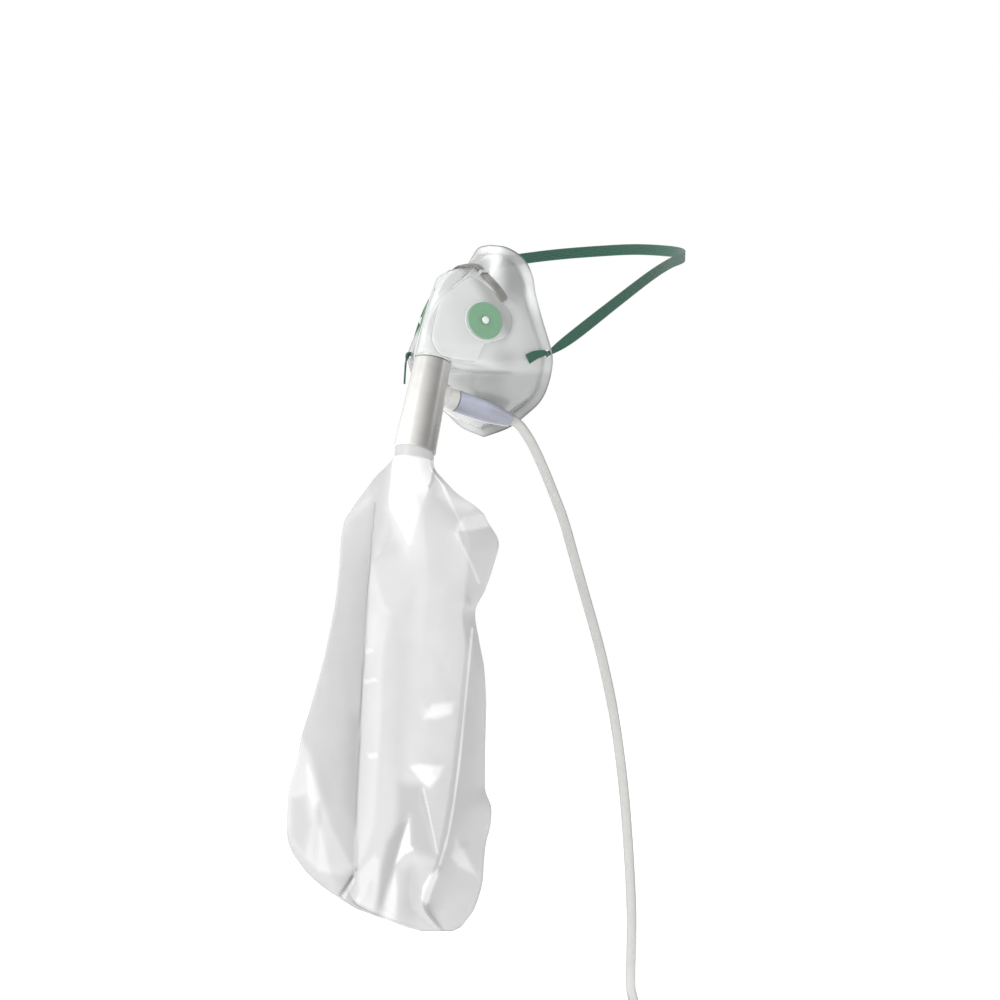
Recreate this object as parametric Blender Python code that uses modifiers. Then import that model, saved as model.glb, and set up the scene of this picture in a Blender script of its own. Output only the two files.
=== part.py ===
"""Oxygen face mask with a reservoir bag, an oxygen inlet and its tubing, as it is worn.

The frame is the wearer's: +Z is up, -Y is the way the wearer faces, +X is the wearer's left.
The origin lies in the face opening, midway between the two strap holes.
All lengths are in metres.
"""

import math

import bmesh
import bpy
from mathutils import Matrix, Vector
from mathutils.bvhtree import BVHTree

# Mask shell
shell_half_width = 0.0545
shell_depth = 0.0650
shell_height = 0.1230
shell_wall = 0.0012
flange_width = 0.0066
flange_flare = 32.0
cheek_bulge = 0.0026
columns_per_station = 2
cheek_parts = 4
panel_parts = 3
front_parts = 3

# Exhalation valves and the flat panels that carry them
valve_azimuth = 60.0
valve_rise = 15.0
panel_lift_front = 0.0012
panel_lift_rear = 0.0021
panel_thickness = 0.0026
panel_edge = 0.0004
disc_radius = 0.0122
disc_thickness = 0.0009
stud_radius = 0.0017
stud_head_radius = 0.0029
stud_head_height = 0.0014
seat_lip_height = 0.0006
seat_lip_share = 0.88
seat_lip_half = 0.0005
seat_plate_height = 0.0005
seat_plate_margin = 0.0012
vent_hole_radius = 0.0019
vent_hole_count = 8

# Port, bag connector and its inner valve
port_lean = 20.5
port_forward = 0.0534
port_drop = 0.0049
port_lip = 0.0004
port_bore_radius = 0.0109
port_wall = 0.0012
port_depth = 0.0100
spigot_wall = 0.0013
spigot_short = 0.0020
neck_step = 0.0010
body_top_radius = 0.0118
body_end_radius = 0.0136
body_length = 0.0610
body_wall = 0.0013
inlet_turn = 60.0
inlet_drop = 0.0200
inlet_socket_radius = 0.0068
inlet_socket_reach = 0.0210
inlet_nipple_radius = 0.0045
inlet_nipple_reach = 0.0360
inlet_nipple_lead = 0.0030
inlet_nipple_taper = 0.0004
inlet_bore_radius = 0.0024
inner_post_radius = 0.0014
inner_post_head = 0.0022
inner_post_rise = 0.0012
inner_disc_thickness = 0.0008
inner_disc_margin = 0.0004
spider_drop = 0.0030
spider_thickness = 0.0016
spider_arms = 6
spider_arm_width = 0.0016
spider_arm_taper = 0.75

# Oxygen tubing and its cuffs
tubing_radius = 0.0032
tubing_length = 2.13
cuff_radius = 0.0071
cuff_tip_radius = 0.0044
cuff_straight = 0.0170
cuff_length = 0.0400
cuff_edge = 0.0005
cuff_taper_parts = 5
tubing_socket_depth = 0.0080
tubing_spacing = 2.6

# Coil that the rest of the tubing is wound into, with the band that ties it
coil_floor = -0.4480
coil_centre = (0.0620, 0.0560)
coil_across = 3
coil_high = 3
coil_turns = 7.67
coil_free_run = 0.4600
arrival_bend = 0.0280
tie_wall = 0.0010
tie_width = 0.0050
tie_turn = 200.0

# Nose clip
clip_width = 0.0056
clip_thickness = 0.0008
clip_lift = 0.0009
clip_arch_height = 0.0250
clip_arch_sweep = 72.0
clip_back = -0.0105
clip_forward = 0.0030
clip_holds = 7
clip_parts = 12
clip_edge = 0.0002
clip_keeper_width = 0.0022
clip_keeper_thickness = 0.0008
clip_keeper_steps = 4

# Head strap
strap_width = 0.0070
strap_thickness = 0.0010
strap_gather_width = 0.0030
strap_gather_thickness = 0.0022
strap_hole_radius = 0.0024

# Reservoir bag
bag_length = 0.3050
bag_width = 0.1300
bag_depth = 0.0480
bag_film = 0.0005
bag_turn = 25.0
bag_neck_insert = 0.0100
bag_neck_blend = 0.0180
neck_ring_wall = 0.0011
neck_ring_length = 0.0080
neck_ring_lift = 0.0010

# Clearance between pieces that touch
gap = 0.0003

# How far a cutter runs on past the face that it cuts
cut_margin = 0.0010

# Points of the shell's two halves closer than this are one
merge_distance = 0.00002

# Turn of a cutter's facets about its axis, so that none falls on a facet of what it cuts
cutter_turn = 4.0


def clear_scene():
    """Remove everything that the file opened with."""
    for item in list(bpy.data.objects):
        bpy.data.objects.remove(item, do_unlink=True)


def make_collection(name):
    group = bpy.data.collections.new(name)
    bpy.context.scene.collection.children.link(group)
    return group


def make_material(name, colour, roughness, metallic=0.0, alpha=1.0):
    material = bpy.data.materials.new(name)
    material.use_nodes = True
    shader = material.node_tree.nodes["Principled BSDF"]
    shader.inputs["Base Color"].default_value = (*colour, 1.0)
    shader.inputs["Roughness"].default_value = roughness
    shader.inputs["Metallic"].default_value = metallic
    shader.inputs["Alpha"].default_value = alpha
    return material


def add_object(name, data, group, material=None, parent=None):
    item = bpy.data.objects.new(name, data)
    group.objects.link(item)
    if material is not None:
        data.materials.append(material)
    item.parent = parent
    return item


def add_boolean(item, other, operation):
    change = item.modifiers.new(operation.lower(), "BOOLEAN")
    change.operation = operation
    change.solver = "EXACT"
    change.object = other
    return change


def mark_as_tool(item):
    """A cutter or a body that is joined to another one is never a part of its own."""
    item.hide_render = True
    item.display_type = "WIRE"
    if "flat_faces" not in item.modifiers:
        item.modifiers.new("flat_faces", "TRIANGULATE")


def smooth_by_angle(item, degrees=35.0):
    item.data.shade_smooth()
    item.data.set_sharp_from_angle(angle=math.radians(degrees))


def line_through(points, t, corners=()):
    """Point at t on a smooth curve through the points, with a sharp bend at each corner."""
    last = len(points) - 1
    i = min(int(t), last - 1)
    f = t - i
    a = Vector(points[i])
    b = Vector(points[i + 1])
    leave = b - a
    arrive = b - a
    if i > 0 and i not in corners:
        leave = (b - Vector(points[i - 1])) / 2
    if i + 2 <= last and i + 1 not in corners:
        arrive = (Vector(points[i + 2]) - a) / 2
    f2 = f * f
    f3 = f2 * f
    return (a * (2 * f3 - 3 * f2 + 1) + leave * (f3 - 2 * f2 + f)
            + b * (3 * f2 - 2 * f3) + arrive * (f3 - f2))


def mesh_from(name, points, faces):
    data = bpy.data.meshes.new(name)
    data.from_pydata([tuple(p) for p in points], [], faces)
    work = bmesh.new()
    work.from_mesh(data)
    bmesh.ops.recalc_face_normals(work, faces=work.faces)
    work.to_mesh(data)
    work.free()
    return data


def closed_loft(name, rings):
    """Solid through rings of equal count, closed by a fan at each end."""
    count = len(rings[0])
    points = [p for ring in rings for p in ring]
    faces = []
    for r in range(len(rings) - 1):
        for k in range(count):
            a = r * count + k
            b = r * count + (k + 1) % count
            faces.append((a, b, b + count, a + count))
    last = (len(rings) - 1) * count
    faces.append(tuple(reversed(range(count))))
    faces.append(tuple(range(last, last + count)))
    return mesh_from(name, points, faces)


def turned(name, profile, group, material, parent=None, steps=40, place=None):
    """Body of revolution about local Z. The profile runs down the outer side at +X."""
    edges = [(i, i + 1) for i in range(len(profile) - 1)]
    if profile[0][0] > 0 and profile[-1][0] > 0:
        edges.append((len(profile) - 1, 0))
    data = bpy.data.meshes.new(name)
    data.from_pydata([(r, 0.0, z) for r, z in profile], edges, [])
    item = add_object(name, data, group, material, parent)
    if place is not None:
        item.matrix_local = place
    screw = item.modifiers.new("turn", "SCREW")
    screw.steps = steps
    screw.render_steps = steps
    screw.use_merge_vertices = True
    screw.merge_threshold = 0.00001
    screw.use_smooth_shade = False
    return item


def plate(name, outlines, thickness, group, material=None, place=None):
    """Flat outline with its holes, given half its thickness on each side, as a closed mesh."""
    curve = bpy.data.curves.new(name, "CURVE")
    curve.dimensions = "2D"
    curve.fill_mode = "BOTH"
    curve.extrude = thickness / 2
    for outline in outlines:
        spline = curve.splines.new("POLY")
        spline.points.add(len(outline) - 1)
        for point, (x, y) in zip(spline.points, outline):
            point.co = (x, y, 0.0, 1.0)
        spline.use_cyclic_u = True
    flat = add_object(name + "_outline", curve, group)
    data = baked(flat)
    bpy.data.objects.remove(flat, do_unlink=True)
    work = bmesh.new()
    work.from_mesh(data)
    bmesh.ops.remove_doubles(work, verts=work.verts, dist=0.000001)
    bmesh.ops.recalc_face_normals(work, faces=work.faces)
    work.to_mesh(data)
    work.free()
    item = add_object(name, data, group, material)
    if place is not None:
        item.matrix_world = place
    return item


def baked(item):
    """Mesh of the object as its modifiers leave it, in world space."""
    bpy.context.view_layer.update()
    graph = bpy.context.evaluated_depsgraph_get()
    seen = item.evaluated_get(graph)
    data = bpy.data.meshes.new_from_object(seen, depsgraph=graph)
    data.transform(item.matrix_world)
    return data


def join_as_tool(name, items, group):
    """One object that holds the separate bodies of several, for one Boolean."""
    joined = bmesh.new()
    for item in items:
        data = baked(item)
        joined.from_mesh(data)
        bpy.data.meshes.remove(data)
    bmesh.ops.recalc_face_normals(joined, faces=joined.faces)
    data = bpy.data.meshes.new(name)
    joined.to_mesh(data)
    joined.free()
    tool = add_object(name, data, group)
    for item in items:
        bpy.data.objects.remove(item, do_unlink=True)
    mark_as_tool(tool)
    return tool


def spun(place):
    return place @ Matrix.Rotation(math.radians(cutter_turn), 4, "Z")


def axis_place(origin, direction, side=Vector((0.0, 0.0, 1.0))):
    """Matrix at the origin whose Z runs along the direction."""
    z = Vector(direction).normalized()
    x = Vector(side).cross(z).normalized()
    y = z.cross(x)
    turn = Matrix((x, y, z)).transposed().to_4x4()
    return Matrix.Translation(origin) @ turn


# The shell is a loft. Each line below runs from the nose to the chin, through the same stations,
# and gives a point there as a share of the half width, the depth and the height.

flange_edge = [(0.00, 0.20, 0.567), (0.20, 0.25, 0.553), (0.37, 0.33, 0.496), (0.50, 0.32, 0.407),
               (0.66, 0.17, 0.309), (0.85, 0.06, 0.163), (1.00, 0.015, 0.016), (1.00, 0.03, -0.065),
               (0.92, 0.06, -0.163), (0.77, 0.12, -0.244), (0.57, 0.15, -0.309),
               (0.33, 0.12, -0.382), (0.00, 0.09, -0.431)]
ridge = [(0.0, -0.11, 0.459), (0.0, -0.37, 0.402), (0.0, -0.66, 0.317), (0.0, -0.885, 0.203),
         (0.0, -0.995, 0.085), (0.0, -0.998, 0.001), (0.0, -0.592, -0.076), (0.0, -0.415, -0.098),
         (0.0, -0.415, -0.195), (0.0, -0.285, -0.285), (0.0, -0.130, -0.350)]
front_top = [(0.055, -0.06, 0.467)]
front_flat = [(-0.123, 0.252), (-0.354, 0.154), (-0.477, 0.073), (-0.562, -0.033), (-0.477, -0.195)]
front_low = [(0.202, -0.585, -0.080), (0.303, -0.369, -0.106), (0.275, -0.408, -0.195),
             (0.239, -0.285, -0.278), (0.147, -0.131, -0.344)]
rear_top = [(0.128, 0.046, 0.476)]
rear_flat = [(0.062, 0.199), (0.215, 0.163), (0.338, 0.081), (0.308, -0.024), (0.123, -0.195)]
rear_low = [(0.640, -0.240, -0.090), (0.605, -0.208, -0.110), (0.550, -0.180, -0.195),
            (0.480, -0.115, -0.268), (0.300, -0.046, -0.333)]
stations = len(flange_edge)
valve_place = (0.4055, -0.437, 0.166)
crisp_front = (6, 7, 8)
crisp_rear = (7, 8)

# Outline of the raised valve panel, by the panel's own axes: back along it, and up it
panel_outline = [(-0.0060, 0.0300), (-0.0234, 0.0178), (-0.0300, 0.0120), (-0.0340, 0.0013),
                 (-0.0382, -0.0105), (-0.0366, -0.0171), (-0.0336, -0.0218), (-0.0260, -0.0244),
                 (-0.0092, -0.0264), (-0.0077, -0.0257), (-0.0012, -0.0145), (0.0117, -0.0119),
                 (0.0170, -0.0085), (0.0206, -0.0020), (0.0210, 0.0038), (0.0183, 0.0098),
                 (0.0150, 0.0114), (0.0100, 0.0200), (0.0007, 0.0270)]


def sized(share):
    """Point of the shell from its shares of the three sizes."""
    return Vector((share[0] * shell_half_width, share[1] * shell_depth, share[2] * shell_height))


def panel_axes():
    """Ways back along the flat valve panel, up it, and out of it, on the wearer's left."""
    turn = math.radians(valve_azimuth)
    rise = math.radians(valve_rise)
    out = Vector((math.sin(turn) * math.cos(rise), -math.cos(turn) * math.cos(rise),
                  math.sin(rise)))
    back = Vector((math.cos(turn), math.sin(turn), 0.0))
    return back, out.cross(back), out


def flat_line(shares, lift):
    """Points on the shell's wall under the raised panel, from shares of the depth and height."""
    back, up, out = panel_axes()
    base = sized(valve_place) - out * lift
    return [base + back * (p * shell_depth) + up * (q * shell_height) for p, q in shares]


def on_underside(point, way):
    """The snout ends below in a flat face, square to the port and a lip above its mouth."""
    place = port_frame().inverted()
    height = (place @ point).z - port_lip
    return point - way * (height / (place.to_3x3() @ way).z)


def flange_line(t):
    return line_through([sized(p) for p in flange_edge], t)


def wall_foot(t):
    """Inner edge of the flange, where the wall of the shell starts."""
    step = 0.05
    low = flange_line(max(t - step, 0.0))
    high = flange_line(min(t + step, stations - 1.0))
    along = high - low
    along.y = 0.0
    inward = Vector((along.z, 0.0, -along.x)).normalized()
    if t < step:
        inward = Vector((0.0, 0.0, -1.0))
    if t > stations - 1 - step:
        inward = Vector((0.0, 0.0, 1.0))
    flare = math.radians(flange_flare)
    toward = inward * math.cos(flare) + Vector((0.0, -math.sin(flare), 0.0))
    return flange_line(t) + toward * flange_width


def ridge_line():
    """Middle of the front, from the nose to the chin."""
    axis = port_frame().to_3x3() @ Vector((0.0, 0.0, 1.0))
    points = [wall_foot(0.0)] + [sized(share) for share in ridge] + [wall_foot(stations - 1.0)]
    for i in (6, 7):
        points[i] = on_underside(points[i], axis)
    return points


def front_line():
    """Front edge of the valve panel, carried on to the nose and the chin."""
    axis = port_frame().to_3x3() @ Vector((0.0, 0.0, 1.0))
    flat = flat_line(front_flat, panel_lift_front)
    flat[-1] = on_underside(flat[-1], panel_axes()[1])
    low = [sized(share) for share in front_low]
    low[0] = on_underside(low[0], axis)
    top = [sized(share) for share in front_top]
    return [wall_foot(0.0)] + top + flat + low + [wall_foot(stations - 1.0)]


def rear_line():
    """Rear edge of the valve panel, carried on to the nose and the chin."""
    top = [sized(share) for share in rear_top]
    low = [sized(share) for share in rear_low]
    flat = flat_line(rear_flat, panel_lift_rear)
    return [wall_foot(0.0)] + top + flat + low + [wall_foot(stations - 1.0)]


def bend(a, control, b, f):
    return a * (1 - f) ** 2 + control * (2 * f * (1 - f)) + b * f ** 2


def shell_section(t, lines):
    """Points of one section, from the edge of the flange to the middle of the front."""
    foot = wall_foot(t)
    rear = line_through(lines[0], t, crisp_rear)
    front = line_through(lines[1], t, crisp_front)
    middle = line_through(lines[2], t, crisp_front)
    share = math.sin(math.pi * t / (stations - 1))
    bulge = Vector((0.8, -0.6, 0.0)) * (cheek_bulge * share)
    cheek = (foot + rear) / 2 + bulge
    crown = Vector((front.x * 0.75, middle.y, (front.z + middle.z) / 2))
    section = [flange_line(t)]
    section += [bend(foot, cheek, rear, k / cheek_parts) for k in range(cheek_parts + 1)]
    section += [rear.lerp(front, k / panel_parts) for k in range(1, panel_parts + 1)]
    section += [bend(front, crown, middle, k / front_parts) for k in range(1, front_parts + 1)]
    return section


def shell_grid():
    """All sections of the wearer's left half."""
    lines = (rear_line(), front_line(), ridge_line())
    columns = (stations - 1) * columns_per_station
    return [shell_section(i / columns_per_station, lines) for i in range(columns + 1)]


def build_shell(group, material, extras, cutters):
    """Half of the shell as an open surface, mirrored and given its wall."""
    sections = shell_grid()
    count = len(sections[0])
    work = bmesh.new()
    grid = [[work.verts.new(p) for p in section] for section in sections]
    for i in range(len(sections) - 1):
        for k in range(count - 1):
            work.faces.new((grid[i][k], grid[i][k + 1], grid[i + 1][k + 1], grid[i + 1][k]))
    bmesh.ops.remove_doubles(work, verts=work.verts, dist=merge_distance)
    for vertex in work.verts:
        if abs(vertex.co.x) < merge_distance:
            vertex.co.x = 0.0
    data = bpy.data.meshes.new("mask_shell")
    work.to_mesh(data)
    work.free()
    shell = add_object("mask_shell", data, group, material)
    mirror = shell.modifiers.new("mirror", "MIRROR")
    mirror.merge_threshold = 0.00005
    wall = shell.modifiers.new("wall", "SOLIDIFY")
    wall.thickness = shell_wall
    wall.offset = -1.0
    wall.use_even_offset = True
    wall.thickness_clamp = 2.0
    shell.modifiers.new("flat_faces", "TRIANGULATE")
    for extra in extras:
        add_boolean(shell, extra, "UNION")
    add_boolean(shell, cutters, "DIFFERENCE")
    return shell


def valve_panel(name, side, group):
    """Raised flat plate of the shell round one exhalation valve."""
    outline = [(side * x, y) for x, y in panel_outline]
    if side < 0:
        outline.reverse()
    place = valve_frame(side) @ Matrix.Translation((0.0, 0.0, -panel_thickness / 2))
    item = plate(name, [outline], panel_thickness, group, None, place)
    edge = item.modifiers.new("edge", "BEVEL")
    edge.width = panel_edge
    edge.segments = 1
    edge.limit_method = "ANGLE"
    edge.angle_limit = math.radians(60.0)
    return item


def valve_frame(side):
    """Place of one exhalation valve: X runs along the panel and Z out of it."""
    back, up, out = panel_axes()
    origin = sized(valve_place)
    flip = Vector((side, 1.0, 1.0))
    turn = Matrix((back * flip * side, up * flip, out * flip)).transposed().to_4x4()
    return Matrix.Translation(origin * flip) @ turn


lip_top = seat_plate_height + seat_lip_height
disc_bottom = lip_top + gap
disc_top = disc_bottom + disc_thickness
head_bottom = disc_top + gap
seat_sink = 2.0 * shell_wall


def valve_seat(name, side, group):
    """Round seat plate with its lip and the stud that holds the disc."""
    rim = disc_radius + seat_plate_margin
    lip = seat_lip_share * disc_radius
    profile = [
        (0.0, head_bottom + stud_head_height),
        (0.6 * stud_head_radius, head_bottom + 0.85 * stud_head_height),
        (stud_head_radius, head_bottom + 0.35 * stud_head_height),
        (0.95 * stud_head_radius, head_bottom),
        (stud_radius, head_bottom),
        (stud_radius, seat_plate_height),
        (lip - 2 * seat_lip_half, seat_plate_height),
        (lip - seat_lip_half, lip_top),
        (lip + seat_lip_half, lip_top),
        (lip + 2 * seat_lip_half, seat_plate_height),
        (rim, seat_plate_height),
        (rim, -seat_sink),
        (0.0, -seat_sink),
    ]
    return turned(name, profile, group, None, steps=28, place=spun(valve_frame(side)))


def vent_cutters(name, side, group):
    """Holes through the seat plate, between the stud and the lip."""
    ring = 0.5 * (stud_head_radius + seat_lip_share * disc_radius)
    items = []
    for k in range(vent_hole_count):
        angle = 2 * math.pi * k / vent_hole_count
        data = bpy.data.meshes.new(name)
        work = bmesh.new()
        bmesh.ops.create_cone(work, cap_ends=True, segments=8, radius1=vent_hole_radius,
                              radius2=vent_hole_radius, depth=8 * shell_wall)
        work.to_mesh(data)
        work.free()
        hole = add_object(f"{name}_{k}", data, group)
        shift = Matrix.Translation((ring * math.cos(angle), ring * math.sin(angle), 0.0))
        hole.matrix_world = valve_frame(side) @ shift
        items.append(hole)
    return items


def build_valve_disc(name, side, group, material):
    """Silicone flap disc over the vent holes, held by the stud at its middle."""
    profile = [
        (stud_radius + gap, disc_top),
        (0.55 * disc_radius, disc_top),
        (disc_radius - 0.3 * disc_thickness, disc_top - 0.1 * disc_thickness),
        (disc_radius, disc_top - 0.5 * disc_thickness),
        (disc_radius - 0.3 * disc_thickness, disc_bottom),
        (stud_radius + gap, disc_bottom),
    ]
    return turned(name, profile, group, material, steps=32, place=valve_frame(side))


# The port's axis leans forward. Its frame has Z up the axis and its origin at the port's mouth.

def port_frame():
    turn = Matrix.Rotation(math.radians(-port_lean), 4, "X")
    return Matrix.Translation((0.0, -port_forward, -port_drop)) @ turn


def port_socket(group):
    """Socket of the shell that the bag connector plugs into."""
    outer = port_bore_radius + port_wall
    profile = [(outer, port_depth), (outer, 0.0),
               (port_bore_radius - port_wall, 0.0), (port_bore_radius - port_wall, port_depth)]
    return turned("port_socket", profile, group, None, steps=40, place=port_frame())


def port_cutter(group):
    data = bpy.data.meshes.new("port_cutter")
    work = bmesh.new()
    length = 2.2 * port_depth
    bmesh.ops.create_cone(work, cap_ends=True, segments=40, radius1=port_bore_radius,
                          radius2=port_bore_radius, depth=length)
    work.to_mesh(data)
    work.free()
    cutter = add_object("port_cutter", data, group)
    cutter.matrix_world = spun(port_frame()) @ Matrix.Translation((0.0, 0.0, 0.1 * port_depth))
    return cutter


def inlet_frame():
    """Oxygen inlet: Z runs out of the bag connector, square to its axis."""
    turn = math.radians(inlet_turn)
    local = axis_place((0.0, 0.0, -inlet_drop), (math.cos(turn), math.sin(turn), 0.0))
    return port_frame() @ local


spigot_radius = port_bore_radius - gap
spigot_length = port_depth - spigot_short
neck_seat_radius = body_end_radius - body_wall
inner_disc_radius = spigot_radius - spigot_wall - inner_disc_margin
spider_height = spigot_length - spider_drop


def build_bag_connector(group, tools, material):
    """Moulded tee: spigot and valve seat above, tapered body, oxygen inlet at the side."""
    bore = spigot_radius - spigot_wall
    profile = [
        (0.0, spigot_length),
        (spigot_radius, spigot_length),
        (spigot_radius, -gap),
        (body_top_radius, -gap),
        (body_end_radius, -body_length),
        (0.0, -body_length),
    ]
    body = turned("bag_connector", profile, group, material, steps=36, place=port_frame())

    socket = turned("inlet_socket", [
        (0.0, inlet_nipple_reach),
        (inlet_nipple_radius - inlet_nipple_taper, inlet_nipple_reach),
        (inlet_nipple_radius, inlet_nipple_reach - inlet_nipple_lead),
        (inlet_nipple_radius, inlet_socket_reach),
        (inlet_socket_radius, inlet_socket_reach),
        (inlet_socket_radius, 0.6 * body_top_radius),
        (0.0, 0.6 * body_top_radius),
    ], tools, None, steps=24, place=inlet_frame())
    body.modifiers.new("flat_faces", "TRIANGULATE")
    mark_as_tool(socket)
    add_boolean(body, socket, "UNION")

    hollow = turned("inner_hollow", [
        (0.0, spigot_length + cut_margin),
        (bore, spigot_length + cut_margin),
        (bore, -gap),
        (neck_seat_radius - neck_step, -body_length + bag_neck_insert + gap),
        (neck_seat_radius, -body_length + bag_neck_insert + gap),
        (neck_seat_radius, -body_length - cut_margin),
        (0.0, -body_length - cut_margin),
    ], tools, None, steps=36, place=spun(port_frame()))
    bore_tool = turned("inlet_bore", [
        (0.0, inlet_nipple_reach + cut_margin),
        (inlet_bore_radius, inlet_nipple_reach + cut_margin),
        (inlet_bore_radius, 0.0),
        (0.0, 0.0),
    ], tools, None, steps=16, place=spun(inlet_frame()))
    for tool in (hollow, bore_tool):
        mark_as_tool(tool)
        add_boolean(body, tool, "DIFFERENCE")

    post = turned("seat_post", [
        (0.0, spigot_length + inner_post_rise),
        (inner_post_head, spigot_length + inner_post_rise / 2),
        (inner_post_head, spigot_length),
        (inner_post_radius, spigot_length),
        (inner_post_radius, spider_height - spider_thickness),
        (0.0, spider_height - spider_thickness),
    ], tools, None, steps=16, place=spun(port_frame()))
    spider = plate("seat_spider", [spider_outline(bore + spigot_wall / 2)], spider_thickness, tools,
                   None, port_frame() @ Matrix.Translation((0.0, 0.0, spider_height)))
    for tool in (spider, post):
        mark_as_tool(tool)
        add_boolean(body, tool, "UNION")
    return body


def spider_outline(reach):
    """Star of arms that carries the inner valve."""
    outline = []
    for k in range(spider_arms):
        arm = 2 * math.pi * k / spider_arms
        notch = arm + math.pi / spider_arms
        half = spider_arm_width / 2
        for across in (-half * spider_arm_taper, half * spider_arm_taper):
            outline.append((reach * math.cos(arm) - across * math.sin(arm),
                            reach * math.sin(arm) + across * math.cos(arm)))
        inner = half / math.sin(math.pi / spider_arms)
        outline.append((inner * math.cos(notch), inner * math.sin(notch)))
    return outline


def build_inner_disc(group, material):
    """Flap of the one-way valve between the bag and the mask."""
    bottom = spider_height + spider_thickness / 2 + gap
    top = bottom + inner_disc_thickness
    inner = inner_post_radius + gap
    profile = [(inner, top), (inner_disc_radius, top), (inner_disc_radius, bottom), (inner, bottom)]
    return turned("inhale_valve_disc", profile, group, material, steps=32, place=port_frame())


def cuff_profile(nipple_radius, nipple_length):
    """Soft cuff that grips a nipple at its mouth and the tubing at its tip. Z is 0 at the mouth."""
    mouth = nipple_radius + gap
    shoulder = cuff_length - cuff_edge
    profile = [(tubing_radius + gap, cuff_length), (cuff_tip_radius - cuff_edge, cuff_length),
               (cuff_tip_radius, shoulder)]
    for k in range(1, cuff_taper_parts + 1):
        share = k / cuff_taper_parts
        radius = cuff_tip_radius + (cuff_radius - cuff_tip_radius) * math.sin(share * math.pi / 2)
        profile.append((radius, shoulder - share * (shoulder - cuff_straight)))
    profile += [(cuff_radius, cuff_edge), (cuff_radius - cuff_edge, 0.0), (mouth, 0.0),
                (mouth, nipple_length + gap), (inlet_bore_radius, nipple_length + gap),
                (inlet_bore_radius, cuff_length - tubing_socket_depth - gap),
                (tubing_radius + gap, cuff_length - tubing_socket_depth - gap)]
    return profile


inlet_nipple_length = inlet_nipple_reach - inlet_socket_reach - gap


def inlet_cuff_frame():
    return inlet_frame() @ Matrix.Translation((0.0, 0.0, inlet_socket_reach + gap))


def tubing_start():
    """Middle of the tubing's end in the inlet cuff, and the way it leaves."""
    frame = inlet_cuff_frame()
    way = (frame.to_3x3() @ Vector((0.0, 0.0, 1.0))).normalized()
    return frame @ Vector((0.0, 0.0, cuff_length - tubing_socket_depth)), way


# Nose clip: a strip bent over the nose ridge. Its middle line is dropped onto the shell from
# outside, at a few places on each side, and runs smoothly between them.

def half_shell_tree():
    """Search tree of the outer face of the wearer's left half."""
    sections = shell_grid()
    count = len(sections[0])
    points = [p for section in sections for p in section]
    faces = []
    for i in range(len(sections) - 1):
        for k in range(count - 1):
            a = i * count + k
            faces.append((a, a + 1, a + 1 + count, a + count))
    return BVHTree.FromPolygons(points, faces)


def clip_stations(count):
    """Middle points and normals of the clip, from the wearer's right end to the left end."""
    tree = half_shell_tree()
    held = []
    for i in range(clip_holds):
        share = i / (clip_holds - 1)
        turn = math.radians(clip_arch_sweep * share)
        outward = Vector((math.sin(turn), 0.0, math.cos(turn)))
        forward = 4 * share * (1 - share) * clip_forward
        centre = Vector((merge_distance, clip_back - forward, clip_arch_height))
        point, normal, index, distance = tree.ray_cast(centre + outward * 0.2, -outward)
        if normal.dot(outward) < 0:
            normal = -normal
        if i == 0:
            point.x = 0.0
            normal.x = 0.0
        held.append((point, normal.normalized()))
    flip = Vector((-1.0, 1.0, 1.0))
    held = [(p * flip, n * flip) for p, n in held[:0:-1]] + held
    places = [p for p, n in held]
    ways = [n for p, n in held]
    last = len(held) - 1
    stops = []
    for i in range(2 * count + 1):
        t = i / (2 * count) * last
        stops.append((line_through(places, t), line_through(ways, t).normalized()))
    return stops


def strip_rings(stops, width, thickness, lift):
    """Rectangular rings across a strip that lies on the stops' surface."""
    rings = []
    for i, (point, normal) in enumerate(stops):
        before = stops[max(i - 1, 0)][0]
        after = stops[min(i + 1, len(stops) - 1)][0]
        along = (after - before).normalized()
        side = along.cross(normal).normalized()
        out = side.cross(along).normalized()
        low = point + out * lift
        high = point + out * (lift + thickness)
        rings.append([low + side * width / 2, low - side * width / 2,
                      high - side * width / 2, high + side * width / 2])
    return rings


def build_nose_clip(group, material):
    rings = strip_rings(clip_stations(clip_parts), clip_width, clip_thickness, clip_lift)
    data = closed_loft("nose_clip", rings)
    clip = add_object("nose_clip", data, group, material)
    edge = clip.modifiers.new("edge", "BEVEL")
    edge.width = clip_edge
    edge.segments = 1
    edge.limit_method = "ANGLE"
    edge.angle_limit = math.radians(50.0)
    return clip


def clip_keepers(group):
    """Two small bridges of the shell over the clip."""
    stops = clip_stations(clip_parts)
    items = []
    for index in (clip_parts - clip_keeper_steps, clip_parts + clip_keeper_steps):
        point, normal = stops[index]
        along = (stops[index + 1][0] - stops[index - 1][0]).normalized()
        side = along.cross(normal).normalized()
        out = side.cross(along).normalized()
        inner = clip_width / 2 + gap
        outer = inner + clip_keeper_thickness
        sink = shell_wall * 0.9
        roof = clip_lift + clip_thickness + gap
        outline = [(-outer, -sink), (-inner, -sink), (-inner, roof), (inner, roof),
                   (inner, -sink), (outer, -sink), (outer, roof + clip_keeper_thickness),
                   (-outer, roof + clip_keeper_thickness)]
        points = []
        for end in (-0.5, 0.5):
            base = point + along * (end * clip_keeper_width)
            points += [base + side * a + out * b for a, b in outline]
        count = len(outline)
        faces = [(0, 1, 2, 3, 4, 5, 6, 7), tuple(range(15, 7, -1))]
        faces += [(k, k + count, (k + 1) % count + count, (k + 1) % count) for k in range(count)]
        data = mesh_from("clip_keeper", points, faces)
        items.append(add_object(f"clip_keeper_{index}", data, group))
    return items


# Head strap. Its route is that of a strap drawn round the back of a head.

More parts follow.
